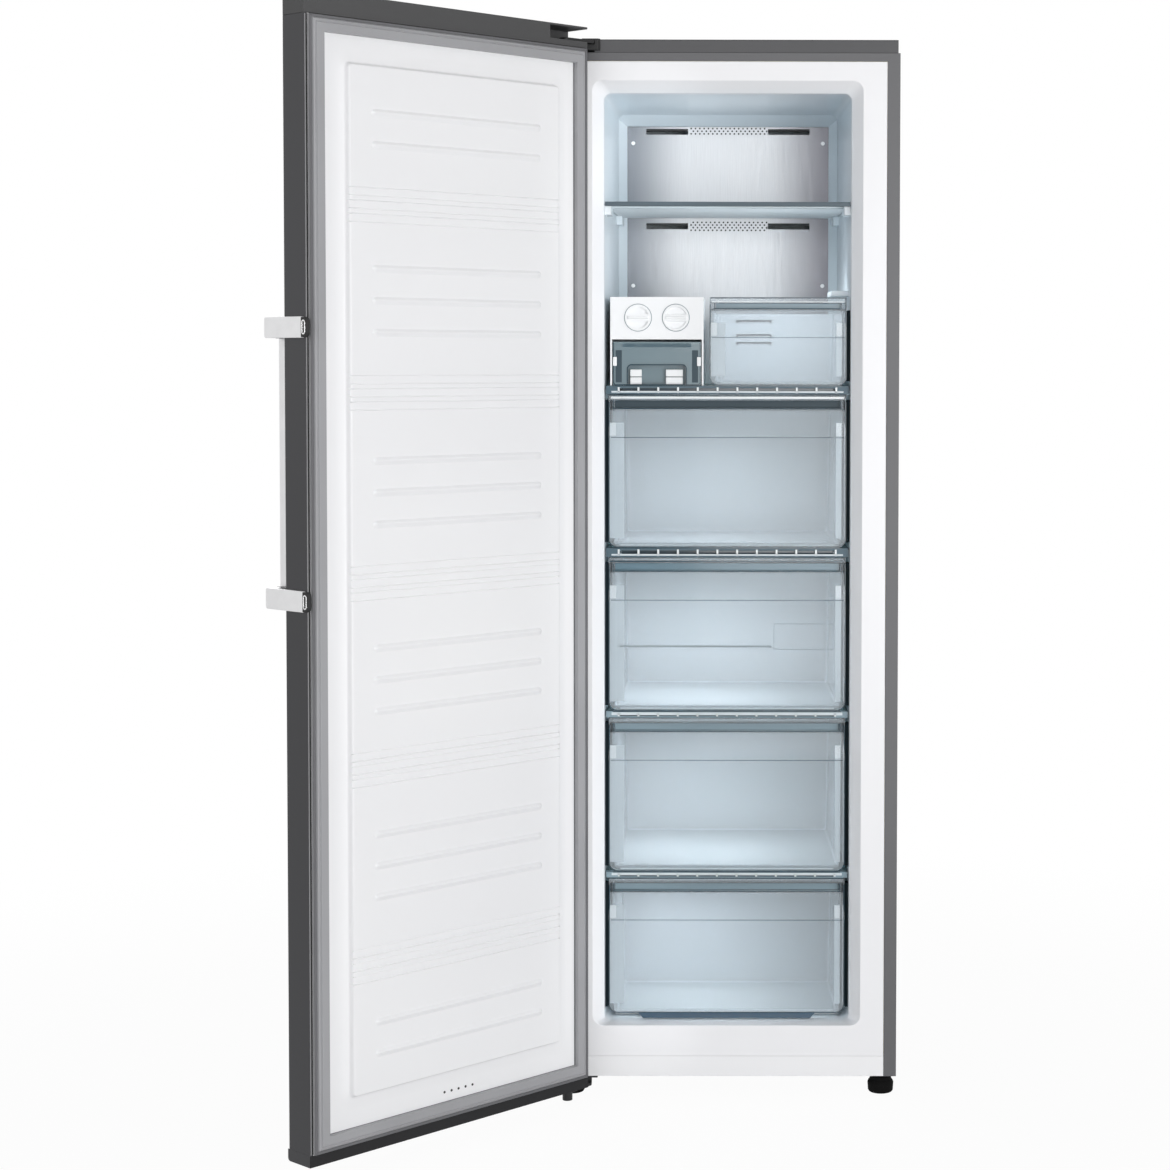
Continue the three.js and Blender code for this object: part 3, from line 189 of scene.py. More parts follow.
def brushedSteel(name, low, high, roughness, stretch=(1, 1, 0.02)):  # fine lines from the brushing belt
    material, tree, shader = newMaterial(name, high, roughness, 1.0)
    lines = grain(tree, shader, 1.1, 0.01, stretch, detail=3.0)
    tint(tree, shader, lines, low, high)
    roughen(tree, shader, lines, roughness - 0.06, roughness + 0.1)
    return material


def ductSteel(name, low, high, sides, halfWidth, roughness):  # brushed upright; painted shade: darker towards both sides, for the light it reflects
    material, tree, shader = newMaterial(name, high, roughness, 0.9)
    lines = grain(tree, shader, 1.1, 0.006, (1, 1, 0.02), detail=3.0)
    middle = tint(tree, shader, lines, low, high)
    across = addNode(tree, "ShaderNodeMath", {0: objectAxis(tree, "X"), 1: centreX}, operation="SUBTRACT")
    far = addNode(tree, "ShaderNodeMath", {0: across.outputs[0]}, operation="ABSOLUTE")
    # painted shade: the tone falls off towards the panel's sides
    paintedShadeFall = addNode(tree, "ShaderNodeMapRange",
                   {"Value": far.outputs[0], "From Min": halfWidth * 0.35, "From Max": halfWidth},
                   interpolation_type="SMOOTHSTEP")
    half = addNode(tree, "ShaderNodeMapRange",
                   {"Value": across.outputs[0], "From Min": -0.02, "From Max": 0.02})
    side = mixColour(tree, half.outputs["Result"], *(linear(colour) for colour in sides))
    tree.links.new(mixColour(tree, paintedShadeFall.outputs["Result"], middle, side), shader.inputs["Base Color"])
    roughen(tree, shader, lines, roughness - 0.05, roughness + 0.08)
    return material


def zincSheet(name, low, high):  # hot-dip galvanised sheet, with its spangle
    material, tree, shader = newMaterial(name, high, 0.42, 0.85)
    spangle = addNode(tree, "ShaderNodeTexVoronoi", {"Vector": objectPlace(tree, (90, 90, 90)), "Scale": 1.0})
    tint(tree, shader, spangle.outputs["Color"], low, high, 0.1, 0.9)
    roughen(tree, shader, spangle.outputs["Color"], 0.32, 0.5, 0.1, 0.9)
    return material


def seeThrough(tree, shader, axis, facing, colours, covers, clearColour):
    # see-through on the faces that look along the axis, darker and denser where it is seen through its edge
    normal = addNode(tree, "ShaderNodeTexCoord").outputs["Normal"]
    parts = addNode(tree, "ShaderNodeSeparateXYZ", {"Vector": normal})
    flat = addNode(tree, "ShaderNodeMath", {0: parts.outputs[axis]}, operation="ABSOLUTE")
    rim = addNode(tree, "ShaderNodeMapRange",
                  {"Value": flat.outputs[0], "From Min": facing[0], "From Max": facing[1],
                   "To Min": 1.0, "To Max": 0.0}).outputs["Result"]
    tree.links.new(mixColour(tree, rim, linear(colours[0]), linear(colours[1])), shader.inputs["Base Color"])
    amount = addNode(tree, "ShaderNodeMapRange", {"Value": rim, "To Min": covers[0], "To Max": covers[1]})
    clear = addNode(tree, "ShaderNodeBsdfTransparent", {"Color": linear(clearColour)})
    mix = addNode(tree, "ShaderNodeMixShader",
                  {0: amount.outputs["Result"], 1: clear.outputs[0], 2: shader.outputs[0]})
    tree.links.new(mix.outputs[0], tree.nodes["Material Output"].inputs["Surface"])


def clearPlastic(name, body, edge, cover, edgeCover, roughness=0.16):  # clear blue-tinted polystyrene
    material, tree, shader = newMaterial(name, body, roughness, Coat_Weight=0.2 if roughness < 0.3 else 0.0)
    grain(tree, shader, 70, 0.03, detail=0.0)
    seeThrough(tree, shader, "Y", (0.45, 0.8), (body, edge), (cover, edgeCover), "#f2f5f7")
    return material


def shelfGlass(name, face, cover, roughness=0.05):  # toughened float glass, green through its edge
    material, tree, shader = newMaterial(name, "#9fc4c6", roughness)
    seeThrough(tree, shader, "Z", (0.3, 0.7), (face, "#2f4a50"), (cover, 0.95), "#e6f2f2")
    return material


def chromedPlastic(name):  # satin chrome plate
    material, tree, shader = newMaterial(name, "#ededee", 0.26, 1.0)
    grain(tree, shader, 5, 0.004)
    roughen(tree, shader, blotches(tree, 14), 0.17, 0.3)
    return material


def satinMetal(name, low, high):  # bead-blasted and lacquered aluminium
    material, tree, shader = newMaterial(name, high, 0.36, 0.8)
    grain(tree, shader, 0.6, 0.006)
    tint(tree, shader, blotches(tree, 30), low, high)
    roughen(tree, shader, blotches(tree, 9), 0.36, 0.5)
    return material


def softRubber(name, low, high, roughness):
    material, tree, shader = newMaterial(name, high, roughness, Sheen_Weight=0.1)
    grain(tree, shader, 0.8, 0.006)
    tint(tree, shader, blotches(tree, 160, 1.0), low, high)
    return material


def rigidFoam(name):  # blown polyurethane
    material, tree, shader = newMaterial(name, "#e3d49c", 0.9)
    cells = addNode(tree, "ShaderNodeTexVoronoi",
                    {"Vector": objectPlace(tree, (420, 420, 420)), "Scale": 1.0}).outputs["Distance"]
    bump = addNode(tree, "ShaderNodeBump", {"Height": cells, "Distance": 0.0008, "Strength": 0.6})
    tree.links.new(bump.outputs["Normal"], shader.inputs["Normal"])
    tint(tree, shader, cells, "#d2bf80", "#eadfae", 0.0, 0.8)
    return material


def drawnCopper(name):
    material, tree, shader = newMaterial(name, "#b87345", 0.3, 1.0)
    stain = blotches(tree, 30, 5.0)
    tint(tree, shader, stain, "#8d5738", "#c98555")
    roughen(tree, shader, stain, 0.24, 0.46)
    return material


materials = {
    "doorSteel": coatedSteel("coatedSteelGraphite", "#38383b", "#3e3e41", 0.4),
    "sideSteel": coatedSteel("coatedSteelGrey", "#58585a", "#5f5f61", 0.46),
    "coverPlastic": mouldedPlastic("absGreyMoulded", "#4b4b4d", "#535355", 0.55),
    "capPlastic": mouldedPlastic("absDarkMoulded", "#3a3a3b", "#454546", 0.48),
    "liner": linerSheet("hipsLinerWhite", "#efeff1", "#f4f4f5", 0.46),
    # painted light: the inner liner's bluish tint stands for the cold room's light
    "innerLiner": linerSheet("hipsLinerPaintedColdLight", "#dfe8ee", "#e5edf2", 0.3, "#f1f1f3"),
    "gasket": softRubber("pvcGasketGrey", "#9b9b9e", "#a2a2a5", 0.6),
    # painted shade: a darker grey for the gasket's outer lip and its inner shadow line
    "gasketDark": softRubber("pvcGasketPaintedShade", "#5e5e61", "#68686b", 0.6),
    # painted highlight: a light grey for the lit edge of the door skin's fold
    "foldHighlight": mouldedPlastic("foldedSteelEdgePaintedHighlight", "#8a8a8c", "#949496", 0.4),
    "bottomPlastic": mouldedPlastic("absBlackMoulded", "#18181a", "#1d1d1f", 0.6, Specular_IOR_Level=0.3),
    "clear": clearPlastic("polystyreneBin", "#eceff2", "#e0e6ea", 0.5, 0.74),
    "clearFront": clearPlastic("polystyreneFront", "#e2e8ec", "#2f4a57", 0.18, 0.9, 0.12),
    # dark teal: the edges of clear plastic, and painted shade in creases, pockets, slots and gaps
    "tealEdgeShade": clearPlastic("polystyreneEdgeAndShade", "#1f3a47", "#294956", 0.96, 0.96, 0.12),
    # painted shade in the drawers' recesses and on the ice bin under the housing
    "tealSoft": clearPlastic("polystyrenePaintedShade", "#6c8c9b", "#4d6f7f", 0.85, 0.9, 0.14),
    # painted shade in the top drawer's recess, and darker strips near the ice bin's sides
    "tealDeep": clearPlastic("polystyreneDeep", "#243a45", "#1c2f38", 0.95, 0.96, 0.5),
    # painted light: the paler recesses of drawers 3 and 4 and the two lower rails, which are more lit
    "tealPale": clearPlastic("polystyrenePale", "#92a9b4", "#7b929d", 0.8, 0.85, 0.14),
    # painted shade: the two upper rails, darker than the lower two
    "railTeal": clearPlastic("polystyreneRail", "#435c69", "#314a56", 0.9, 0.92, 0.4),
    "trimTeal": clearPlastic("polystyreneTrim", "#4a5962", "#44545d", 0.97, 0.97, 0.45),
    # painted highlight on the rails' ledges, and also the beam under the top shelf
    "ledgePale": clearPlastic("polystyreneRim", "#d9e3e8", "#cedbe1", 0.88, 0.88, 0.3),
    # painted shade: a near-black teal for the shade in the gaps beside the drawers
    "gapShadeDark": mouldedPlastic("gapShadeTeal", "#0a191f", "#0e2129", 0.7, Specular_IOR_Level=0.2),
    "keelBlue": clearPlastic("polystyreneKeel", "#3f586c", "#31495c", 0.92, 0.95, 0.12),
    # painted highlight: near-white strips for the light caught by drawer posts, drawer feet and rail webs
    "highlightPale": clearPlastic("polystyrenePaintedHighlight", "#f4f9fb", "#e9f2f6", 0.84, 0.84, 0.2),
    "binSmoke": clearPlastic("polystyreneSmoke", "#889da5", "#5d747d", 0.6, 0.86, 0.14),
    # print on the second drawer, and painted shade round the ice maker's knobs
    "printAndShadeGrey": mouldedPlastic("printedAndShadeGrey", "#8b969c", "#939da3", 0.5),
    # painted shade: near-black for holes and slots
    "darkRecess": mouldedPlastic("paintedShadeDark", "#2a2a2b", "#363637", 0.6),
    "glass": shelfGlass("toughenedGlass", "#c9dde0", 0.3),
    "glassPale": shelfGlass("frostedGlass", "#f6fafc", 0.94, 0.5),
    "whitePlastic": mouldedPlastic("absWhiteMoulded", "#eceef0", "#f3f4f5", 0.34, 1.2, 0.008),
    "blackPlastic": mouldedPlastic("polypropyleneBlack", "#0c0c0d", "#131314", 0.6),
    "footRubber": mouldedPlastic("rubberBlack", "#030303", "#060606", 0.85, Specular_IOR_Level=0.15),
    # painted shade: the duct panel darkens towards both sides, more on the left
    "ductPanel": ductSteel("brushedSteelPanel", "#c4c5c7", "#d2d3d5", ("#85898f", "#98959a"), 0.197, 0.46),
    "chrome": chromedPlastic("chromePlate"),
    "satinMetal": satinMetal("satinAluminium", "#e9e9ea", "#f0f0f1"),
    "zinc": zincSheet("galvanisedSheet", "#8f9497", "#b3b7ba"),
    "aluminium": brushedSteel("aluminiumFins", "#b9bcbe", "#d5d7d8", 0.38, (0.2, 1, 0.05)),
    "blackEnamel": coatedSteel("blackEnamelledSteel", "#151516", "#1f1f21", 0.3),
    "copper": drawnCopper("copperTube"),
    "foam": rigidFoam("polyurethaneFoam"),
}
print("materials made:", len(materials))

nodeMaterials = {
    "sideSteel": ["outer_shell"],
    "foam": ["insulation_body", "door_insulation"],
    "liner": ["kickplate", "door_liner"],
    "innerLiner": ["inner_liner"],
    "coverPlastic": ["top_cover", "door_top_cap"],
    "capPlastic": ["door_bottom_cap"],
    "zinc": ["rear_panel", "base_frame", "machine_room_cover", "upper_hinge_bracket", "lower_hinge_bracket",
             "fan_motor"],
    "blackPlastic": ["upper_hinge_cover", "front_foot_left", "front_foot_right", "rear_roller_left",
                     "rear_roller_right", "drip_tray", "mains_inlet", "handle_spacer_upper",
                     "handle_spacer_lower"],
    "blackEnamel": ["compressor"],
    "copper": ["discharge_pipe", "suction_pipe"],
    "ductPanel": ["rear_duct_panel"],
    "aluminium": ["evaporator"],
    "whitePlastic": ["evaporator_fan", "ice_maker_housing", "ice_knob_left", "ice_knob_right",
                     "ice_tray_left", "ice_tray_right"],
    "glass": ["top_shelf_glass", "shelf_low_glass", "shelf_mid_glass", "shelf_high_glass", "ice_shelf_glass"],
    "railTeal": ["shelf_low_rail", "shelf_mid_rail", "shelf_high_rail", "ice_shelf_rail"],
    "trimTeal": ["top_shelf_trim"],
    "clear": ["small_drawer", "ice_bin"] + [f"drawer_{i}_{part}" for i in (1, 2, 3, 4)
                                            for part in ("front", "bin")],
    "doorSteel": ["door_skin"],
    "gasket": ["door_gasket"],
    "chrome": ["handle_bar", "handle_bracket_upper", "handle_bracket_lower"],
}
for key, names in nodeMaterials.items():
    for name in names:
        mesh = nodes[name].data
        mesh.materials.clear()
        mesh.materials.append(materials[key])
print("node materials set")


# ---- modelling helpers
def clearPick():
    if bpy.context.mode != "OBJECT":
        bpy.ops.object.mode_set(mode="OBJECT")
    bpy.ops.object.select_all(action="DESELECT")


def takeUp(piece):
    clearPick()
    piece.select_set(True)
    bpy.context.view_layer.objects.active = piece


def nameIt(piece, name):
    piece.name = name
    piece.data.name = name
    return piece


def settle(piece):
    takeUp(piece)
    bpy.ops.object.transform_apply(location=True, rotation=True, scale=True)


def startBlock(name, low, high):
    clearPick()
    low, high = Vector(low), Vector(high)
    bpy.ops.mesh.primitive_cube_add(size=1, location=(low + high) / 2)
    piece = nameIt(bpy.context.active_object, name)
    piece.scale = high - low
    settle(piece)
    return piece


def startPanel(name, low, high, y):  # an upright plane facing the front
    clearPick()
    middle = Vector(((low.x + high.x) / 2, y, (low.z + high.z) / 2))
    bpy.ops.mesh.primitive_plane_add(size=1, location=middle, rotation=(math.pi / 2, 0, 0))
    piece = nameIt(bpy.context.active_object, name)
    piece.scale = (high.x - low.x, high.z - low.z, 1)
    settle(piece)
    return piece


def startRod(name, place, radius, depth, axis="Z", sides=48):
    clearPick()
    turn = {"X": (0, math.pi / 2, 0), "Y": (math.pi / 2, 0, 0), "Z": (0, 0, 0)}[axis]
    bpy.ops.mesh.primitive_cylinder_add(vertices=sides, radius=radius, depth=depth,
                                        location=place, rotation=turn)
    piece = nameIt(bpy.context.active_object, name)
    settle(piece)
    return piece


def shape(piece):
    takeUp(piece)
    bpy.ops.object.mode_set(mode="EDIT")
    bpy.ops.mesh.select_mode(type="FACE")
    bpy.ops.mesh.select_all(action="DESELECT")


def pick(piece, kind, test):  # faces get (middle, normal), edges (middle, direction), corners (place)
    bpy.ops.mesh.select_mode(type={"face": "FACE", "edge": "EDGE", "vert": "VERT"}[kind])
    bpy.ops.mesh.select_all(action="DESELECT")
    mesh = bmesh.from_edit_mesh(piece.data)
    mesh.normal_update()
    if kind == "face":
        for face in mesh.faces:
            face.select_set(bool(test(face.calc_center_median(), face.normal)))
    elif kind == "edge":
        for edge in mesh.edges:
            a, b = (v.co for v in edge.verts)
            edge.select_set(bool(test((a + b) / 2, (b - a).normalized())))
    else:
        for vert in mesh.verts:
            vert.select_set(bool(test(vert.co)))
    mesh.select_flush_mode()
    bmesh.update_edit_mesh(piece.data)


def roundOff(width, segments=3, affect="EDGES", profile=0.5):
    bpy.ops.mesh.bevel(offset=width, offset_type="OFFSET", segments=segments, profile=profile, affect=affect)


def drawOut(x=0.0, y=0.0, z=0.0):
    bpy.ops.mesh.extrude_region_move(TRANSFORM_OT_translate={"value": (x, y, z)})


def modify(piece, kind, **settings):
    takeUp(piece)
    modifier = piece.modifiers.new(kind.lower(), kind)
    for name, value in settings.items():
        setattr(modifier, name, value)
    bpy.ops.object.modifier_apply(modifier=modifier.name)


def softEdges(piece, width, segments=2, angle=35):
    modify(piece, "BEVEL", width=width, segments=segments, limit_method="ANGLE",
           angle_limit=math.radians(angle), harden_normals=False)


def strip(name, x0, x1, y0, y1, z0, z1, width=0.4, segments=2):  # a bar with eased edges, in mm
    piece = startBlock(name, at(x0, y0, z0), at(x1, y1, z1))
    softEdges(piece, width / 1000, segments)
    return piece


def copyTo(piece, name, offset):
    clearPick()
    twin = piece.copy()
    twin.data = piece.data.copy()
    bpy.context.scene.collection.objects.link(twin)
    twin.location = Vector(offset)
    nameIt(twin, name)
    settle(twin)
    return twin


def joinAll(pieces):
    clearPick()
    for piece in pieces:
        piece.select_set(True)
    bpy.context.view_layer.objects.active = pieces[0]
    if len(pieces) > 1:
        bpy.ops.object.join()
    return pieces[0]


def fit(piece, body, key, replaces=(), smooth=35, mend=True):
    if mend:
        shape(piece)
        bpy.ops.mesh.select_all(action="SELECT")
        bpy.ops.mesh.remove_doubles(threshold=0.00001)
        bpy.ops.mesh.normals_make_consistent(inside=False)
    takeUp(piece)
    bpy.ops.object.shade_smooth_by_angle(angle=math.radians(smooth))
    modify(piece, "WEIGHTED_NORMAL", weight=50, keep_sharp=True)  # flats stay flat beside their eased edges
    piece.data.materials.clear()
    piece.data.materials.append(materials[key])
    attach(piece, body)
    if replaces:
        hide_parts(*replaces)
    return piece


def fitAll(parts, name, body, key):  # the parts become one named piece
    return fit(nameIt(joinAll(parts), name), body, key)


def refine(node, body, key, width=0.6, segments=2, smooth=35):
    # a copy of a solid with its coplanar facets merged, its edges eased and its curves smooth
    clearPick()
    words = node.split("_")
    piece = bpy.data.objects.new("copy", nodes[node].data.copy())
    bpy.context.scene.collection.objects.link(piece)
    piece.matrix_world = nodes[node].matrix_world.copy()
    nameIt(piece, words[0] + "".join(w.capitalize() for w in words[1:]) + "Fine")
    settle(piece)
    if piece.data.has_custom_normals:
        bpy.ops.mesh.customdata_custom_splitnormals_clear()
    shape(piece)
    bpy.ops.mesh.select_all(action="SELECT")
    bpy.ops.mesh.remove_doubles(threshold=0.00002)
    bpy.ops.mesh.dissolve_limited(angle_limit=math.radians(0.6))
    if width:
        softEdges(piece, width / 1000, segments, 30)
    return fit(piece, body, key, [node], smooth)


def screwHeads(name, places, radius, axis, body, key="zinc"):  # pan heads, each crossed by two thin bars
    parts = []
    depth = radius * 0.55
    for i, place in enumerate(places):
        head = startRod(f"{name}{i}", place, radius, depth, axis, 24)
        softEdges(head, radius * 0.3, 3)
        parts.append(head)
        for j in (0, 1):
            a, b = (radius * 1.1, radius * 0.22) if j else (radius * 0.22, radius * 1.1)
            size = (a, depth + 0.0001, b) if axis == "Y" else (a, b, depth + 0.0001)
            half = Vector(size) / 2
            bar = startBlock(f"{name}Slot{i}{j}", place - half, place + half)
            softEdges(bar, 0.00005, 1)
            parts.append(bar)
    fitAll(parts, name, body, key)


hinge = {"x": -276, "y": -40, "openAngle": 133.4}
pinPlace = at(hinge["x"], hinge["y"], 0)
doorTurn = (Matrix.Translation(pinPlace) @ Matrix.Rotation(-math.radians(hinge["openAngle"]), 4, "Z")
            @ Matrix.Translation(-pinPlace))


def hangOnDoor(piece):  # made as on the shut door, then swung open with it
    piece.matrix_world = doorTurn @ piece.matrix_world
    settle(piece)
    return piece


# ---- drawers; every size in mm
drawerShape = {"front": 40, "halfWidth": 208.2, "rim": 10, "grip": 15, "crease": 50, "lean": 4, "depth": 20,
               "wall": 2.4, "corner": 16, "edge": 0.7, "draft": 7, "binInset": 5, "binFoot": 8,
               "binCorner": 9, "binLip": 5, "bumps": 8, "bumpPitch": 44, "bumpHalf": 11, "bumpNear": 8,
               "bumpFar": 17}
drawerRows = {1: (960, 1228, 418), 2: (672, 942.3, 418), 3: (387.6, 659.6, 418), 4: (135.3, 375.8, 292)}
keelShape = {"half": 157, "footHalf": 148, "near": 1, "far": 6, "low": 125.6, "binLow": 125.2}
smallShape = {"left": -31.5, "low": 1244.2, "high": 1398.5, "grip": 10.5, "bumps": 4, "binLow": 1244.5,
              "binHigh": 1372, "back": 300, "slotLevels": (1361.5, 1335.5, 1321), "slotEnds": (16, 81),
              "slotFace": (295.6, 296.9)}
drawerTrim = {
    "bead": 1.4, "beadDepth": (-0.3, 2.2),
    # across a front: inset from both ends, near and far behind its face, low and high from its own line
    "lip": (7, 3.6, 7, -0.2, 1.2), "crease": (4, -0.3, 0.5, -0.45, 0.45), "recess": (11, 14.8, 17, 2),
    "sill": (9, 7.2, 14.8, 0.6, 1.8), "top": (2, 1.2, 2.4), "rail": (4, 1.4, 2.4),
    "footHighlight": (20, 2.6, 4, 3.2, 5.4),
    # beside its ends: start, width, near and far
    "side": (0.1, 2, 1.4, 4.6), "pocket": (8.2, 1.6, 4, 15), "postTop": 26,
    "posts": ((1, 2.2, 11, 2.6, 3.8), (1, 3.4, 24, 4.7, 5.9), (-1, 1.5, 2.2, 2.6, 3.8),
              (-1, 8, 10, 2.6, 3.8)),  # each with its side first
    "recessShade": {"drawerTrim1": "tealDeep", "drawerTrim2": "tealSoft", "drawerTrim3": "tealPale",
                   "drawerTrim4": "tealPale", "smallTrim": "tealSoft"},
    # the top line is painted shade under the rim, the rail line a painted highlight
    "topHeight": {"drawerTrim1": (-1.9, -0.2), "drawerTrim2": (-8.2, -5.4), "drawerTrim4": (-1.9, -0.2),
                  "smallTrim": (-1.9, -0.2)},
    "railHeight": {"drawerTrim1": (-7, -3.4), "smallTrim": (-8.8, -7.4)}}


def drawerFront(name, x0, x1, z0, z1, s):
    y = s["front"]
    panelTop = z1 - s["rim"] - s["grip"]
    piece = startPanel(name, at(x0, y, z0), at(x1, y, panelTop - s["crease"]), frontY + y / 1000)
    shape(piece)
    top = at(0, 0, panelTop - s["crease"]).z
    pick(piece, "edge", lambda m, d: abs(m.z - top) < 1e-5)
    drawOut(0, s["lean"] * mm, s["crease"] * mm)  # the leaning top of the panel
    drawOut(0, (s["depth"] - s["wall"] - s["lean"]) * mm, -2 * mm)  # floor of the finger recess
    drawOut(0, 0, (s["grip"] + 2) * mm)
    drawOut(0, -(s["depth"] - s["wall"] - 2) * mm, 0)  # underside of the top rail
    drawOut(0, 0, s["rim"] * mm)
    drawOut(0, (s["depth"] - 2) * mm, 0)
    bottom = at(0, 0, z0).z
    pick(piece, "vert", lambda c: abs(c.z - bottom) < 1e-5)
    roundOff(s["corner"] * mm, 5, "VERTICES")
    modify(piece, "SOLIDIFY", thickness=s["wall"] * mm, offset=-1)
    softEdges(piece, s["edge"] * mm)
    cheeks = []
    for i, x in enumerate((x0, x1 - s["wall"])):
        cheek = startBlock(f"{name}Cheek{i}", at(x + 0.1, y + 1.5, z0 + s["corner"]),
                           at(x + s["wall"] - 0.1, y + s["depth"], z1 - 1.5))
        softEdges(cheek, s["edge"] * mm)
        cheeks.append(cheek)
    return joinAll([piece, *cheeks])


def drawerBin(name, x0, x1, z0, z1, back, s):  # a tapered tub with a lip and with bumps on its floor
    y = s["front"] + s["depth"] + 0.4
    piece = startBlock(name, at(x0 + s["binInset"], y, z0), at(x1 - s["binInset"], back, z1))
    shape(piece)
    far = at(0, back, 0).y
    width = x1 - x0 - 2 * s["binInset"]
    pick(piece, "face", lambda m, n: n.y > 0.9)
    bpy.ops.transform.resize(value=((width - 2 * s["draft"]) / width, 1, 1))
    pick(piece, "face", lambda m, n: n.z < -0.9)
    bpy.ops.transform.resize(value=((width - s["binFoot"]) / width, 1, 1))
    pick(piece, "edge", lambda m, d: m.z < at(0, 0, z0 + 1).z or (abs(m.y - far) < 1e-4 and abs(d.z) > 0.9))
    roundOff(s["binCorner"] * mm, 4)
    pick(piece, "face", lambda m, n: n.z > 0.9 or n.y < -0.9)
    bpy.ops.mesh.delete(type="FACE")
    top = at(0, 0, z1).z
    pick(piece, "edge", lambda m, d: abs(m.z - top) < 1e-5 and m.y > at(0, y + 1, 0).y)
    drawOut(0, 0, 0)
    bpy.ops.transform.resize(value=((width + s["binLip"]) / width, 1, 1))  # the rim's turned-out lip
    modify(piece, "SOLIDIFY", thickness=s["wall"] * mm, offset=-1)
    softEdges(piece, s["edge"] * mm)
    parts = [piece]
    floor = z0 + s["wall"]
    bump = startBlock(f"{name}Bump", at(-s["bumpHalf"], y + s["bumpNear"], floor - 0.5),
                      at(s["bumpHalf"], y + s["bumpFar"], floor + 4))
    softEdges(bump, 2.6 * mm, 3)
    for i in range(s["bumps"]):
        x = (x0 + x1) / 2 + (i - (s["bumps"] - 1) / 2) * s["bumpPitch"]
        parts.append(copyTo(bump, f"{name}Bump{i}", (x / 1000, 0, 0)))
    bpy.data.objects.remove(bump)
    return joinAll(parts)


def outlineBead(name, low, high, y0, y1, corner, width):  # a U-shaped moulded edge, open at the top
    piece = startPanel(name, low, high, frontY + y0 / 1000)
    shape(piece)
    pick(piece, "vert", lambda c: abs(c.z - low.z) < 1e-5)
    roundOff(corner / 1000, 6, "VERTICES")
    bpy.ops.mesh.select_all(action="SELECT")
    bpy.ops.mesh.inset(thickness=width / 1000, depth=0)
    bpy.ops.mesh.delete(type="FACE")
    pick(piece, "face", lambda m, n: m.z > high.z - width * 0.0012)
    bpy.ops.mesh.delete(type="FACE")
    bpy.ops.mesh.select_all(action="SELECT")
    drawOut(0, (y1 - y0) / 1000, 0)
    return piece


def dressDrawer(name, body, x0, x1, z0, z1, s, t):  # one front's dark edges, painted shade in its lip, crease, pockets, recess and sill and under its rim, and painted highlights on its posts and foot
    y = s["front"]
    panelTop = z1 - s["rim"] - s["grip"]
    crease = panelTop - s["crease"]

    def level(box, line, edge=0.3):  # a strip across the front
        inset, near, far, low, high = box
        return strip(name, x0 + inset, x1 - inset, y + near, y + far, line + low, line + high, edge)

    def upright(box, side, low, high, edge=0.3, segments=2):  # a strip beside one end
        start, width, near, far = box
        x = x0 if side > 0 else x1
        a, b = sorted((x + side * start, x + side * (start + width)))
        return strip(name, a, b, y + near, y + far, low, high, edge, segments)

    # painted shade: dark lines at the front's outline, lip, crease, end pockets and under the rim
    dark = [outlineBead(name, at(x0, y, z0), at(x1, y, crease), y + t["beadDepth"][0], y + t["beadDepth"][1],
                        s["corner"], t["bead"]),
            level(t["lip"], panelTop, 0.4), level(t["crease"], crease, 0.2)]
    for side in (1, -1):
        dark.append(upright(t["side"], side, crease - 1, z1 - s["rim"] - 3))
        dark.append(upright(t["pocket"], side, panelTop - 4, z1 - s["rim"]))
    if name in t["topHeight"]:
        dark.append(level(t["top"] + t["topHeight"][name], z1))
    fitAll(dark, f"{name}Dark", body, "tealEdgeShade")
    # painted shade in the finger recess and on its sill, its tone set by each drawer's light
    recess = [level(t["recess"] + (s["grip"] - 0.5,), panelTop), level(t["sill"], panelTop)]
    fitAll(recess, f"{name}Recess", body, t["recessShade"][name])
    # painted highlights: a pale line under the rim on some fronts, posts at both ends, wider at the lit left,
    # and a line at the foot
    pale = []
    if name in t["railHeight"]:
        pale.append(level(t["rail"] + t["railHeight"][name], z1, 0.2))
    for side, *box in t["posts"]:
        pale.append(upright(box, side, z0 + s["corner"], crease + t["postTop"], 0.5, 3))
    pale.append(level(t["footHighlight"], z0, 0.6))
    fitAll(pale, f"{name}Pale", body, "highlightPale")


def makeKeel(k, s, bottom):  # it carries the lowest drawer over the liner's floor
    keel = startBlock("keel", at(-k["half"], s["front"] + k["near"], k["low"]),
                      at(k["half"], s["front"] + k["far"], bottom + 0.6))
    shape(keel)
    pick(keel, "face", lambda m, n: n.z < -0.9)
    bpy.ops.transform.resize(value=(k["footHalf"] / k["half"], 1, 1))
    softEdges(keel, 0.8 * mm)
    fit(keel, "drawer_4", "keelBlue")


def makeDrawers(rows, s):
    half = s["halfWidth"]
    for number, (z0, z1, back) in rows.items():
        body = f"drawer_{number}"
        front = drawerFront(f"drawerFront{number}", -half, half, z0, z1, s)
        lowest = number == len(rows)
        if lowest:
            makeKeel(keelShape, s, z0)
        fit(front, body, "clearFront", [f"{body}_front"])
        dressDrawer(f"drawerTrim{number}", body, -half, half, z0, z1, s, drawerTrim)
        bottom = keelShape["binLow"] if lowest else z0 + 0.3
        box = drawerBin(f"drawerBin{number}", -half, half, bottom, z1 - s["rim"] - 0.5, back, s)
        fit(box, body, "clear", [f"{body}_bin"])


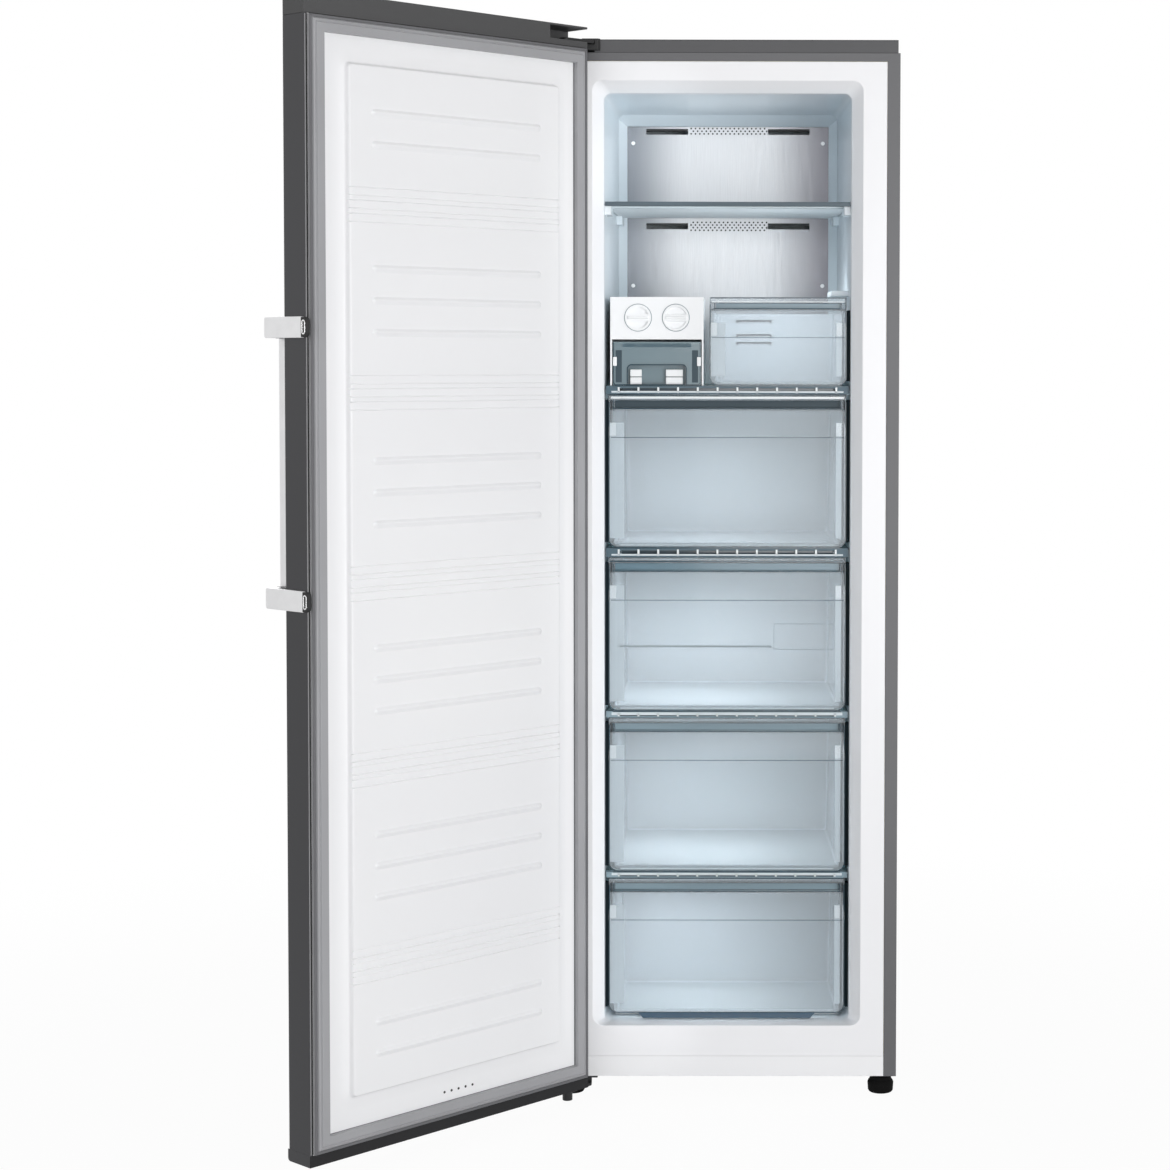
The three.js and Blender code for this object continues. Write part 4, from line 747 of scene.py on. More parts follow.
def makeSmallDrawer(d, s):
    own = dict(s, grip=d["grip"], bumps=d["bumps"])
    left, right = d["left"], s["halfWidth"]
    front = drawerFront("smallDrawerFront", left, right, d["low"], d["high"], own)
    box = drawerBin("smallDrawerBin", left, right, d["binLow"], d["binHigh"], d["back"], own)
    fit(front, "small_bin", "clearFront", ["small_drawer"])
    dressDrawer("smallTrim", "small_bin", left, right, d["low"], d["high"], own, drawerTrim)
    fit(box, "small_bin", "clear")
    slotShades = []
    x0, x1 = d["slotEnds"]
    for z in d["slotLevels"]:  # painted shade: three dark strips near the bin's back wall for the slots seen dark there, each turned down at its ends
        slotShades.append(strip("slotShadeTop", x0, x1, *d["slotFace"], z - 1.3, z + 1.3))
        for x in (x0 + 1.4, x1 - 1.4):
            slotShades.append(strip("slotShadeEnd", x - 1.4, x + 1.4, *d["slotFace"], z - 4.4, z))
    fitAll(slotShades, "smallDrawerSlotShades", "small_bin", "darkRecess")


printShape = {"stripe": (-188, 77.7), "stripeHeight": (784.3, 787.7), "stripeFace": 39.55, "panel": (82, 187),
              "panelHeight": (780, 826.5), "line": 1, "lineFace": 39.6, "back": 39.9}


def makePrint(p):  # the plain stripe and the bare outlined panel on the second drawer
    parts = [strip("printStripe", *p["stripe"], p["stripeFace"], p["back"], *p["stripeHeight"], 0.1)]
    (x0, x1), (z0, z1), line = p["panel"], p["panelHeight"], p["line"]
    for a, b, low, high in ((x0, x1, z0, z0 + line), (x0, x1, z1 - line, z1),
                            (x0, x0 + line, z0, z1), (x1 - line, x1, z0, z1)):
        parts.append(strip("printLine", a, b, p["lineFace"], p["back"], low, high, 0.1))
    fitAll(parts, "frontPrint", "drawer_2", "printAndShadeGrey")


makeDrawers(drawerRows, drawerShape)
makeSmallDrawer(smallShape, drawerShape)
makePrint(printShape)
print("drawers made")


# ---- door liner
linerShape = {"edge": 291.6, "bottom": 46.4, "top": 1818.1, "back": -12, "face": -10, "rise": 13,
              "panelHalf": 245, "panelBottom": 101.5, "panelTop": 1771, "corner": 30, "ribHalf": 179,
              "ribWidth": 16, "ribRise": 3.4, "ribPitch": 50, "groovePitch": 20.6, "grooveRun": 216,
              "dots": 5, "dotPitch": 15, "dotRadius": 2.1, "dotHeight": 0.8, "dotX": -4, "dotZ": 89}
panelSteps = ((3, 0.1), (4, 0.3), (5, 0.6), (5, 0.9), (3, 1.0), (1.2, 0.9), (0.8, 1.2), (0.6, 1.6),
              (0.45, 1.9), (0.5, 1.7), (0.7, 1.3), (1, 0.9), (1.3, 0.6))  # inwards and up, border to face
grooveSteps = ((7.2, 0), (6.3, 1.9), (5.2, 0.7), (3.2, 0.5))  # half width and depth: a crease at each edge
ribRows = [(1648.5, 2), (1380, 3), (1078, 3), (782, 3), (486, 3), (211, 2)]
grooveRows = [1530, 1236, 937, 643, 331]


def cutGrooves(sheet, s, face):  # three rounded grooves across the panel between each two fields of ribs
    for x in (-s["grooveRun"], s["grooveRun"]):
        bpy.ops.mesh.select_all(action="SELECT")
        bpy.ops.mesh.bisect(plane_co=at(x, 0, 0), plane_no=(1, 0, 0))
    middles = [row + i * s["groovePitch"] for row in grooveRows for i in (-1, 0, 1)]
    for middle in middles:
        for half, depth in grooveSteps:
            for side in (-1, 1):
                bpy.ops.mesh.select_all(action="SELECT")
                bpy.ops.mesh.bisect(plane_co=at(0, 0, middle + side * half), plane_no=(0, 0, 1))
    mesh = bmesh.from_edit_mesh(sheet.data)
    for vert in mesh.verts:
        z = vert.co.z / mm
        off = min(abs(z - middle) for middle in middles)
        depth = next((d for half, d in reversed(grooveSteps) if off < half + 0.05), 0)
        if abs(vert.co.x - centreX) > (s["grooveRun"] + 1) * mm:
            depth *= 2.2  # the grooves run out deeper through the panel's edge
        vert.co.y = min(vert.co.y, at(0, face - depth, 0).y)
    bmesh.update_edit_mesh(sheet.data)


def makeDoorLiner(s):
    sheet = startBlock("doorLinerSheet", at(-s["edge"], s["back"], s["bottom"]),
                       at(s["edge"], s["face"], s["top"]))
    shape(sheet)
    pick(sheet, "face", lambda m, n: n.y > 0.9)
    bpy.ops.mesh.inset(thickness=(s["edge"] - s["panelHalf"]) * mm, depth=0)
    mesh = bmesh.from_edit_mesh(sheet.data)
    for vert in mesh.verts:  # the inset corners go to the raised panel's own top and bottom
        if vert.select:
            vert.co.z = at(0, 0, s["panelTop"] if vert.co.z > 0.9 else s["panelBottom"]).z
    bmesh.update_edit_mesh(sheet.data)
    pick(sheet, "vert", lambda c: abs(c.x - centreX) < (s["panelHalf"] + 1) * mm)
    roundOff(s["corner"] * mm, 8, "VERTICES")
    pick(sheet, "face", lambda m, n: n.y > 0.9 and abs(m.x - centreX) < 0.01 and 0.5 < m.z < 1.3)
    for inwards, up in panelSteps:
        bpy.ops.mesh.inset(thickness=inwards * mm, depth=up * mm)
    face = s["face"] + s["rise"]
    cutGrooves(sheet, s, face)
    pick(sheet, "face", lambda m, n: n.y < -0.9 or (m.y < at(0, s["face"] - 0.5, 0).y))
    bpy.ops.mesh.delete(type="FACE")
    modify(sheet, "SOLIDIFY", thickness=2 * mm, offset=-1)

    half, width, rise = s["ribHalf"], s["ribWidth"], s["ribRise"]
    rib = startBlock("liningRib", at(-half, face - 1.2, -width / 2), at(half, face + rise, width / 2))
    shape(rib)
    pick(rib, "edge", lambda m, d: abs(d.y) > 0.9)
    roundOff(width * 0.42 * mm, 4)
    pick(rib, "face", lambda m, n: n.y > 0.9)
    bpy.ops.transform.resize(value=(1 - 5 / half, 1, 0.14))
    bpy.ops.transform.translate(value=(0, 0, width * 0.075 * mm))
    softEdges(rib, rise * 0.4 * mm, 3, 12)
    parts = [sheet]
    for middle, count in ribRows:
        for i in range(count):
            z = middle + (i - (count - 1) / 2) * s["ribPitch"]
            parts.append(copyTo(rib, "rib", (0, 0, z * mm)))
    bpy.data.objects.remove(rib)
    hangOnDoor(fit(joinAll(parts), "door", "liner", ["door_liner"], 30, mend=False))

    # painted shade: dark discs for the drain holes
    drain = startRod("drainDot", at(s["dotX"], s["face"] + 0.2, s["dotZ"]), s["dotRadius"] * mm,
                     s["dotHeight"] * mm, "Y", 20)
    softEdges(drain, 0.25 * mm)
    steps = [i - (s["dots"] - 1) / 2 for i in range(s["dots"])]
    dots = [copyTo(drain, "drain", (step * s["dotPitch"] * mm, 0, 0)) for step in steps]
    bpy.data.objects.remove(drain)
    fit(hangOnDoor(nameIt(joinAll(dots), "drainHoleShades")), "door", "darkRecess")


makeDoorLiner(linerShape)
print("door liner made")


# ---- shelves and air duct
gapShadeShape = {"start": 208.8, "thick": 6.3, "front": 46, "back": 62, "inset": 9, "small": (1252, 1376)}
ductShape = {"face": 429.9, "shade": 429.4, "holeRadius": 1.7, "holes": 18, "holePitch": 8.2, "rowPitch": 5,
             "fields": ((1723, 3), (1543, 4)), "louvreX": 115.4, "louvreHalf": 39.4,
             "louvres": ((1723.2, 1727.2), (1544.2, 1548.8)), "screwX": 180,
             "screwLevels": (1700, 1430, 1000, 560)}
coveShape = {"inner": 191, "outer": 207, "front": 409, "back": 430.2, "low": 1240, "panelTop": 1731.5,
             "ceiling": 1751.5, "reach": 14, "thin": 1.2}
railShape = {"nodes": ("shelf_low_rail", "shelf_mid_rail", "shelf_high_rail", "ice_shelf_rail"),
             "pitch": 34.6, "count": 12, "web": 1.7, "shadeHalf": 186, "lineHalf": 200, "ledgeHalf": 203,
             "pale": ("shelf_low_rail", "shelf_mid_rail")}
beamShape = {"half": 204, "front": 64, "back": 78, "drop": 3.4}


def makeGapShades(rows, s):  # painted shade: dark strips on the liner's walls beside each drawer, for the shade in the gaps there
    parts = []
    places = [(side, z0 + s["inset"], z1 - s["inset"]) for z0, z1, back in rows.values() for side in (-1, 1)]
    for side, z0, z1 in places + [(1, *s["small"])]:
        a, b = sorted((side * s["start"], side * (s["start"] + s["thick"])))
        parts.append(strip("runner", a, b, s["front"], s["back"], z0, z1, 1.2, 3))
    fitAll(parts, "drawerGapShades", "cabinet", "gapShadeDark")


def makeDuctHoles(s):
    # painted shade: dark discs stand in for the perforation's holes
    dot = startRod("hole", at(0, s["face"], 0), s["holeRadius"] * mm, 0.4 * mm, "Y", 12)
    softEdges(dot, 0.1 * mm, 1)
    parts = []
    for middle, rows in s["fields"]:
        for row in range(rows):
            z = middle + (row - (rows - 1) / 2) * s["rowPitch"]
            for i in range(s["holes"]):
                x = (i - (s["holes"] - 1) / 2 + row % 2 / 2) * s["holePitch"] - 0.3
                parts.append(copyTo(dot, "hole", (x / 1000, 0, z / 1000)))
    bpy.data.objects.remove(dot)
    half = s["louvreHalf"]
    for x in (-s["louvreX"], s["louvreX"]):  # the shade that the punched louvres throw over their slots
        for low, high in s["louvres"]:
            parts.append(strip("louvre", x - half, x + half, s["shade"], s["face"], low, high, 0.1))
    fitAll(parts, "ductHoleShades", "cabinet", "darkRecess")
    places = [at(x, s["shade"], z) for x in (-s["screwX"], s["screwX"]) for z in s["screwLevels"]]
    screwHeads("ductScrews", places, 0.004, "Y", "cabinet", "satinMetal")


def makeCoves(s):  # the sloping corners between the liner and the duct panel
    parts = []
    near = at(0, s["front"] + 1, 0).y
    for side in (-1, 1):
        a, b = sorted((side * s["inner"], side * s["outer"]))
        cove = startBlock("cove", at(a, s["front"], s["low"]), at(b, s["back"], s["ceiling"]))
        shape(cove)
        pick(cove, "edge", lambda m, d: abs(d.z) > 0.9 and m.y < near
             and abs(m.x - centreX) < (s["inner"] + 1) * mm)
        bpy.ops.transform.translate(value=(0, (s["back"] - s["front"] - s["thin"]) / 1000, 0))
        parts.append(cove)
    top = startBlock("cove", at(-s["outer"], s["front"] - s["reach"], s["panelTop"]),
                     at(s["outer"], s["back"], s["ceiling"]))
    shape(top)
    pick(top, "edge", lambda m, d: abs(d.x) > 0.9 and m.y < near and m.z < s["ceiling"] / 1000 - 0.01)
    bpy.ops.transform.translate(value=(0, (s["back"] - s["front"] + s["reach"] - s["thin"]) / 1000, 0))
    parts.append(top)
    for cove in parts:
        softEdges(cove, 1.2 * mm, 3)
    fitAll(parts, "linerCoves", "cabinet", "innerLiner")


def makeRails(s):  # each shelf's front rail, with its webs and ledge as painted highlights, a top line and the sheet behind its slots in painted shade, that sheet pale on the two lower rails
    webs, shades, ledges, backs = [], [], [], []
    for node in s["nodes"]:
        light = node in s["pale"]
        # painted light: the two lower rails take the paler teal, the others the darker
        refine(node, "cabinet", "tealPale" if light else "railTeal", 0.5)
        low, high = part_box(node)
        y0, y1 = (low.y - frontY) * 1000, (high.y - frontY) * 1000
        z0, z1 = low.z * 1000, high.z * 1000
        # painted shade behind the slots, pale on the two lower rails
        behind = strip("shade", -s["shadeHalf"], s["shadeHalf"], y1 + 0.2, y1 + 0.8, z0 + 2, z1 - 2, 0.2)
        (backs if light else shades).append(behind)
        # painted shade: a dark line along each rail's top
        shades.append(strip("line", -s["lineHalf"], s["lineHalf"], y0 - 0.2, y0 + 0.3, z1 - 1, z1 + 0.5, 0.1))
        # painted highlight: pale webs between the slots
        for i in range(s["count"]):
            x = (i - (s["count"] - 1) / 2) * s["pitch"]
            webs.append(strip("web", x - s["web"], x + s["web"], y0 - 0.2, y0 + 0.4, z0 + 2, z1 - 2.4, 0.2))
        # painted highlight: a pale ledge along each rail
        low, high = (z0 + 4.2, z1 - 1.6) if light else (z0 + 2.6, z0 + 5.6)
        ledges.append(strip("ledge", -s["ledgeHalf"], s["ledgeHalf"], y0 - 0.2, y0 + 0.4, low, high, 0.2))
    fitAll(webs, "railWebs", "cabinet", "highlightPale")
    fitAll(shades, "railShades", "cabinet", "tealEdgeShade")
    fitAll(ledges, "railLedges", "cabinet", "ledgePale")
    fitAll(backs, "railBacks", "cabinet", "tealPale")


def makeShelves(s):
    refine("top_shelf_trim", "cabinet", "trimTeal", 0.7)
    for node in ("shelf_low_glass", "shelf_mid_glass", "shelf_high_glass", "ice_shelf_glass"):
        refine(node, "cabinet", "glass", 0.8, 3)
    refine("top_shelf_glass", "cabinet", "glassPale", 0.8, 3)
    refine("rear_duct_panel", "cabinet", "ductPanel", 0.6)
    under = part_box("top_shelf_glass")[0].z * 1000
    beam = strip("topShelfBeam", -s["half"], s["half"], s["front"], s["back"], under - s["drop"], under - 0.1,
                 0.8, 3)
    fit(beam, "cabinet", "ledgePale")


makeGapShades(drawerRows, gapShadeShape)
makeDuctHoles(ductShape)
makeCoves(coveShape)
makeRails(railShape)
makeShelves(beamShape)
print("shelves made")


# ---- ice maker
iceShape = {"knobs": (-156.5, -90.5), "knobLevel": 1362.5, "ringRadius": 24.3, "ring": 1.2, "gripHalf": 18.5,
            "edge": (-200, -47), "edgeHeight": (1244.6, 1319.5), "pocket": (-176, -71),
            "pocketHeight": (1245, 1281), "posts": (-198, -49), "sides": (-196, -62.5), "sideWide": 11.5,
            "shade": (-184, -63), "clips": (-200.5, -53.5), "clipWide": 7,
            "blocks": ((-170.6, -150.3), (-108, -78.3)), "blockHeight": (1246, 1272), "slit": 1259}


def makeIceMaker(s):
    refine("ice_maker_housing", "cabinet", "whitePlastic", 1.8, 3)
    # painted shade: a grey ring round each knob for the shadow in the gap around it
    rings = []
    for x in s["knobs"]:
        ring = startRod("knobGapShade", at(x, 39.8, s["knobLevel"]), s["ringRadius"] * mm, 0.8 * mm, "Y", 64)
        shape(ring)
        pick(ring, "face", lambda m, n: abs(n.y) > 0.9)
        bpy.ops.mesh.inset(thickness=s["ring"] * mm, depth=0)
        bpy.ops.mesh.delete(type="FACE")
        rings.append(ring)
    fitAll(rings, "knobGapShades", "cabinet", "printAndShadeGrey")
    for side, x in zip(("left", "right"), s["knobs"]):
        body = f"ice_twister_{side}"
        refine(f"ice_knob_{side}", body, "whitePlastic", 0.7, 3)
        refine(f"ice_tray_{side}", body, "whitePlastic", 0.5)
        grip = strip("grip", x - s["gripHalf"], x + s["gripHalf"], 35.4, 41, s["knobLevel"] - 2.6,
                     s["knobLevel"] + 2.6, 1.6, 4)
        fit(nameIt(grip, f"knobGrip{side.capitalize()}"), body, "whitePlastic")


def makeIceBin(s):  # its dark edges, darker strips near its sides, painted shade under the housing, and the white clips and catches in its front
    refine("ice_bin", "ice_store", "binSmoke", 0.7)
    (x0, x1), (z0, z1) = s["edge"], s["edgeHeight"]
    dark = [outlineBead("binEdge", at(x0, 40.6, z0), at(x1, 40.6, z1), 40.6, 43.4, 5, 1.6)]
    (x0, x1), (z0, z1) = s["pocket"], s["pocketHeight"]
    arch = outlineBead("pocketEdge", at(x0, 40.2, z0), at(x1, 40.2, z1), 40.2, 43, 8, 1.6)
    middle = at((x0 + x1) / 2, 41.6, (z0 + z1) / 2)  # the pocket's edge opens downwards
    arch.matrix_world = (Matrix.Translation(middle) @ Matrix.Rotation(math.pi, 4, "Y")
                         @ Matrix.Translation(-middle) @ arch.matrix_world)
    settle(arch)
    dark.append(arch)
    dark += [strip("binPost", x - 1.4, x + 1.4, 42, 60, 1250, 1318, 0.5) for x in s["posts"]]
    fitAll(dark, "iceBinEdges", "ice_store", "tealEdgeShade")
    sides = [strip("binSide", x, x + s["sideWide"], 40.9, 42.6, 1249, 1306, 0.6) for x in s["sides"]]
    fitAll(sides, "iceBinSides", "ice_store", "tealDeep")
    fit(strip("iceBinShade", *s["shade"], 41, 42.4, 1310.5, 1318, 0.6), "ice_store", "tealSoft")
    white = [strip("clip", x, x + s["clipWide"], 40.4, 42.4, 1278, 1294, 1, 3) for x in s["clips"]]
    low, high = s["blockHeight"]
    for x0, x1 in s["blocks"]:
        white.append(strip("block", x0, x1, 47, 54, low, s["slit"] - 0.6, 1, 3))
        white.append(strip("block", x0, x1, 47, 54, s["slit"] + 0.6, high, 1, 3))
    fitAll(white, "iceBinCatches", "ice_store", "whitePlastic")


makeIceMaker(iceShape)
makeIceBin(iceShape)
print("ice maker made")


# ---- casing, hinges, feet, machinery
casingNodes = (  # node, material and the width of its eased edges
    ("outer_shell", "sideSteel", 0.7), ("inner_liner", "innerLiner", 1.6), ("top_cover", "coverPlastic", 1.4),
    ("kickplate", "liner", 0.5), ("base_frame", "zinc", 0.4), ("upper_hinge_bracket", "blackEnamel", 0.8),
    ("upper_hinge_cover", "blackPlastic", 0.8), ("lower_hinge_bracket", "blackEnamel", 0.6),
    ("machine_room_cover", "zinc", 0.3), ("mains_inlet", "blackPlastic", 0.5),
    ("compressor", "blackEnamel", 1.5), ("drip_tray", "blackPlastic", 0.8), ("fan_motor", "zinc", 0.5),
    ("evaporator", "aluminium", 0.4))
for node, key, width in casingNodes:
    refine(node, "cabinet", key, width, 3)
for node in ("discharge_pipe", "suction_pipe"):
    refine(node, "cabinet", "copper", 0, smooth=60)
for side in ("left", "right"):
    refine(f"front_foot_{side}", f"foot_{side}", "footRubber", 1.2, 3)
    refine(f"rear_roller_{side}", f"roller_{side}", "blackPlastic", 0.8, 3)
refine("evaporator_fan", "fan", "whitePlastic", 0.4)
rearShape = {"half": 296, "low": 290.5, "high": 1816.4, "face": 583, "ribs": (-220, -110, 0, 110, 220),
             "ribHalf": 17, "ribLow": 390, "ribHigh": 1730, "screwFace": 583.3, "screwX": 284,
             "screwLevels": (330, 700, 1070, 1440, 1795), "innerX": 140, "innerLevels": (304, 1803),
             "coverLevels": (60, 270), "coverMiddle": 276}
topShape = {"screwX": 262, "screwBack": 548, "screwFront": 60, "face": 1840.2, "boltX": (-268, -212),
            "boltY": (66, 96), "boltFace": 1823.2}


def makeRear(s):  # the back sheet with its pressed stiffening ribs, and its screws
    half, face = s["half"], s["face"]
    parts = [strip("rearPanelFine", -half, half, face - 0.8, face, s["low"], s["high"], 0.3)]
    for x in s["ribs"]:
        rib = startBlock("pressedRib", at(x - s["ribHalf"], face - 0.4, s["ribLow"]),
                         at(x + s["ribHalf"], face + 1.2, s["ribHigh"]))
        shape(rib)
        pick(rib, "face", lambda m, n: n.y > 0.9)
        bpy.ops.transform.resize(value=(0.8, 1, 0.992))
        pick(rib, "edge", lambda m, d: abs(d.y) > 0.5)
        roundOff(12 * mm, 6)
        softEdges(rib, 0.8 * mm, 3, 20)
        parts.append(rib)
    fit(joinAll(parts), "cabinet", "zinc", ["rear_panel"])
    front, outer, inner = s["screwFace"], (-s["screwX"], s["screwX"]), (-s["innerX"], s["innerX"])
    places = [at(x, front, z) for x in outer for z in s["screwLevels"]]
    places += [at(x, front, z) for x in inner for z in s["innerLevels"]]
    screwHeads("rearScrews", places, 0.0038, "Y", "cabinet", "satinMetal")
    low = [at(x, front, z) for x in outer for z in s["coverLevels"]] + [at(0, front, s["coverMiddle"])]
    screwHeads("coverScrews", low, 0.0036, "Y", "cabinet", "satinMetal")


def makeTopScrews(s):
    x, z = s["screwX"], s["face"]
    places = [at(-x, s["screwBack"], z), at(x, s["screwBack"], z), at(x, s["screwFront"], z)]
    screwHeads("topScrews", places, 0.0034, "Z", "cabinet", "blackEnamel")
    bolts = [at(x, y, s["boltFace"]) for x in s["boltX"] for y in s["boltY"]]
    screwHeads("hingeBolts", bolts, 0.0052, "Z", "cabinet", "zinc")


makeRear(rearShape)
makeTopScrews(topShape)
print("casing made")


# ---- door, all made as on the shut door
for node, key, width in (("door_skin", "doorSteel", 0.6), ("door_gasket", "gasket", 0.5),
                         ("door_top_cap", "capPlastic", 1.2), ("door_bottom_cap", "bottomPlastic", 1.2)):
    refine(node, "door", key, width, 3)
handleShape = {"plate": (297.8, 304), "front": -107.9, "back": -13, "crossLeft": 261.5, "crossBack": -91,
               "brackets": (("lower", 897.5, 930.3), ("upper", 1321.4, 1354.2)), "bar": (262, 277),
               "barFront": -107.4, "slot": (277.6, 285), "contactShadowDepth": (-104, -93), "spacerEnd": 2.6,
               "pill": (-10.2, -1.2), "pillInset": 5, "plugInset": 2.3}
doorTrim = {"low": 47.5, "high": 1817, "fold": 295.6, "foldHalf": 1, "gap": 293, "gapHalf": 1.6, "lip": 289,
            "lipHalf": 2.3, "lipLevels": (49.6, 1814.9), "line": 264.7, "lineHalf": 0.8,
            "lineHeight": (73, 1791.6), "foot": (297.0, 297.8), "footFront": -67, "footBack": -10.8,
            "footCorner": 5}


def onDoor(piece, key, replaces=()):
    return hangOnDoor(fit(piece, "door", key, replaces))


def makeBracket(name, z0, z1, h):  # a plate on the door's edge, turned inwards at its front to hold the bar
    p0, p1 = h["plate"]
    piece = startBlock(f"handleBracket{name}", at(p0, h["front"], z0), at(p1, h["back"], z1))
    shape(piece)
    bpy.ops.mesh.select_all(action="SELECT")
    bpy.ops.mesh.bisect(plane_co=at(0, h["crossBack"], 0), plane_no=(0, 1, 0))
    pick(piece, "face", lambda m, n: n.x < -0.9 and m.y < at(0, h["crossBack"], 0).y)
    drawOut(x=(h["crossLeft"] - p0) * mm)
    pick(piece, "edge", lambda m, d: abs(d.x) > 0.9 and m.y < at(0, h["front"] + 1, 0).y)
    roundOff(4 * mm, 5)
    softEdges(piece, 0.9 * mm, 3)
    onDoor(piece, "satinMetal", [f"handle_bracket_{name.lower()}"])


def makeSpacer(name, z0, z1, h):  # the black block behind the plate, round at its end
    p0, p1 = h["plate"]
    spacer = startBlock(f"handleSpacer{name}", at(p0 + 0.1, h["back"], z0 + 0.8),
                        at(p1 + 0.6, h["spacerEnd"], z1 - 0.8))
    shape(spacer)
    pick(spacer, "edge", lambda m, d: abs(d.x) > 0.9 and m.y > at(0, h["spacerEnd"] - 1, 0).y)
    roundOff(8 * mm, 6)
    softEdges(spacer, 0.9 * mm, 3)
    onDoor(spacer, "blackPlastic", [f"handle_spacer_{name.lower()}"])


def makeScrewPlug(name, z0, z1, h):  # a chromed oval ring and the black plug in it
    p1 = h["plate"][1]
    (y0, y1), inset = h["pill"], h["pillInset"]
    ring = startBlock(f"screwRing{name}", at(p1 + 0.3, y0, z0 + inset), at(p1 + 1.5, y1, z1 - inset))
    shape(ring)
    pick(ring, "edge", lambda m, d: abs(d.x) > 0.9)
    roundOff(4.3 * mm, 8)
    pick(ring, "face", lambda m, n: n.x > 0.9)
    bpy.ops.mesh.inset(thickness=2.1 * mm, depth=0)
    drawOut(x=-0.8 * mm)
    softEdges(ring, 0.3 * mm)
    onDoor(ring, "chrome")
    y0, y1, inset = y0 + h["plugInset"], y1 - h["plugInset"], inset + h["plugInset"]
    plug = startBlock(f"screwPlug{name}", at(p1 + 0.4, y0, z0 + inset), at(p1 + 0.9, y1, z1 - inset))
    shape(plug)
    pick(plug, "edge", lambda m, d: abs(d.x) > 0.9)
    roundOff(2 * mm, 6)
    softEdges(plug, 0.15 * mm)
    onDoor(plug, "blackPlastic")


def makeHandle(h):
    low, high = h["brackets"][0][2] - 1, h["brackets"][1][1] + 1
    x0, x1 = h["bar"]
    bar = startBlock("handleBarFine", at(x0, h["barFront"], low), at(x1, h["crossBack"], high))
    softEdges(bar, 2 * mm, 4)
    onDoor(bar, "satinMetal", ["handle_bar"])
    for place, z0, z1 in h["brackets"]:
        name = place.capitalize()
        makeBracket(name, z0, z1, h)
        makeSpacer(name, z0, z1, h)
        makeScrewPlug(name, z0, z1, h)
        # painted shadow: a black strip where the bar meets each bracket
        z = z1 if place == "lower" else z0
        slot = strip(f"barContactShadow{name}", *h["slot"], *h["contactShadowDepth"], z - 0.4, z + 0.4, 0.2)
        onDoor(slot, "blackPlastic")


def trimDoor(name, key, parts):
    onDoor(nameIt(joinAll(parts), name), key)


def bothSides(x, half, *box):  # upright strips at the left and right
    return [strip("trim", middle - half, middle + half, *box) for middle in (-x, x)]


def makeDoorTrim(t):  # the skin's folds with a painted highlight, painted shade in the gaps behind them, the gasket's lip and inner line in painted shade, the skin's foot
    low, high = t["low"], t["high"]
    # painted highlight along the skin's folds
    trimDoor("skinFoldHighlights", "foldHighlight", bothSides(t["fold"], t["foldHalf"], -10.3, -9.75, low, high, 0.2))
    # painted shade: black strips in the gaps behind the folds
    trimDoor("foldGapShades", "blackPlastic", bothSides(t["gap"], t["gapHalf"], -10.1, -9.85, low, high, 0.1))
    # painted shade: a darker strip along the gasket's outer lip
    half = t["lipHalf"]
    lip = bothSides(t["lip"], half, -6, -3.9, low + 0.1, high - 0.1, 0.9, 3)
    end = t["lip"] + 2
    lip += [strip("lipLevel", -end, end, -6, -3.9, z - half, z + half, 0.9, 3) for z in t["lipLevels"]]
    trimDoor("gasketLip", "gasketDark", lip)
    # painted shadow: a thin dark line along the gasket's inner edge
    line = bothSides(t["line"], t["lineHalf"], -10, -8.7, *t["lineHeight"], 0.1)
    line.append(strip("innerLine", -265, 265, -10, -8.9, 72.6, 73.5, 0.1))
    trimDoor("gasketShadowLine", "gasketDark", line)
    capLow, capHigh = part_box("door_bottom_cap")
    foot = startBlock("skinFoot", at(t["foot"][0], t["footFront"], capLow.z * 1000 + 0.3),
                      at(t["foot"][1], t["footBack"], capHigh.z * 1000 + 1))
    shape(foot)
    pick(foot, "edge", lambda m, d: abs(d.x) > 0.9 and m.z < capLow.z + 0.001 and m.y < at(0, -60, 0).y)
    roundOff(t["footCorner"] * mm, 5)
    softEdges(foot, 0.3 * mm)
    onDoor(foot, "doorSteel")


makeHandle(handleShape)
makeDoorTrim(doorTrim)
print("door made")


# ---- floor, light
def makeStage():
    bpy.ops.mesh.primitive_plane_add(size=40, location=(0, 0, 0))
    floor = bpy.context.active_object
    floor.name = "studioFloor"
    material = bpy.data.materials.new("studioPaperWhite")  # matt paper, white to the camera, pale in gloss
    material.use_nodes = True
    tree = material.node_tree
    shader = tree.nodes["Principled BSDF"]
    shader.inputs["Base Color"].default_value = linear("#d0d0d0")
    shader.inputs["Roughness"].default_value = 0.9
    glow = addNode(tree, "ShaderNodeEmission", {"Color": (1, 1, 1, 1), "Strength": 1.0})
    ray = addNode(tree, "ShaderNodeLightPath")
    far = addNode(tree, "ShaderNodeVectorMath", {0: addNode(tree, "ShaderNodeTexCoord").outputs["Object"]},
                  operation="LENGTH")
    fade = addNode(tree, "ShaderNodeMapRange",
                   {"Value": far.outputs["Value"], "From Min": 0.9, "From Max": 2.4,
                    "To Min": 0.96, "To Max": 1.0}, interpolation_type="SMOOTHSTEP")
    shine = addNode(tree, "ShaderNodeMath", {0: ray.outputs["Is Glossy Ray"], 1: 0.7}, operation="MULTIPLY")
    share = addNode(tree, "ShaderNodeMath",
                    {0: ray.outputs["Is Camera Ray"], 1: fade.outputs["Result"], 2: shine.outputs[0]},
                    operation="MULTIPLY_ADD")
    mix = addNode(tree, "ShaderNodeMixShader",
                  {0: share.outputs[0], 1: shader.outputs[0], 2: glow.outputs[0]})
    tree.links.new(mix.outputs[0], tree.nodes["Material Output"].inputs["Surface"])
    floor.data.materials.append(material)


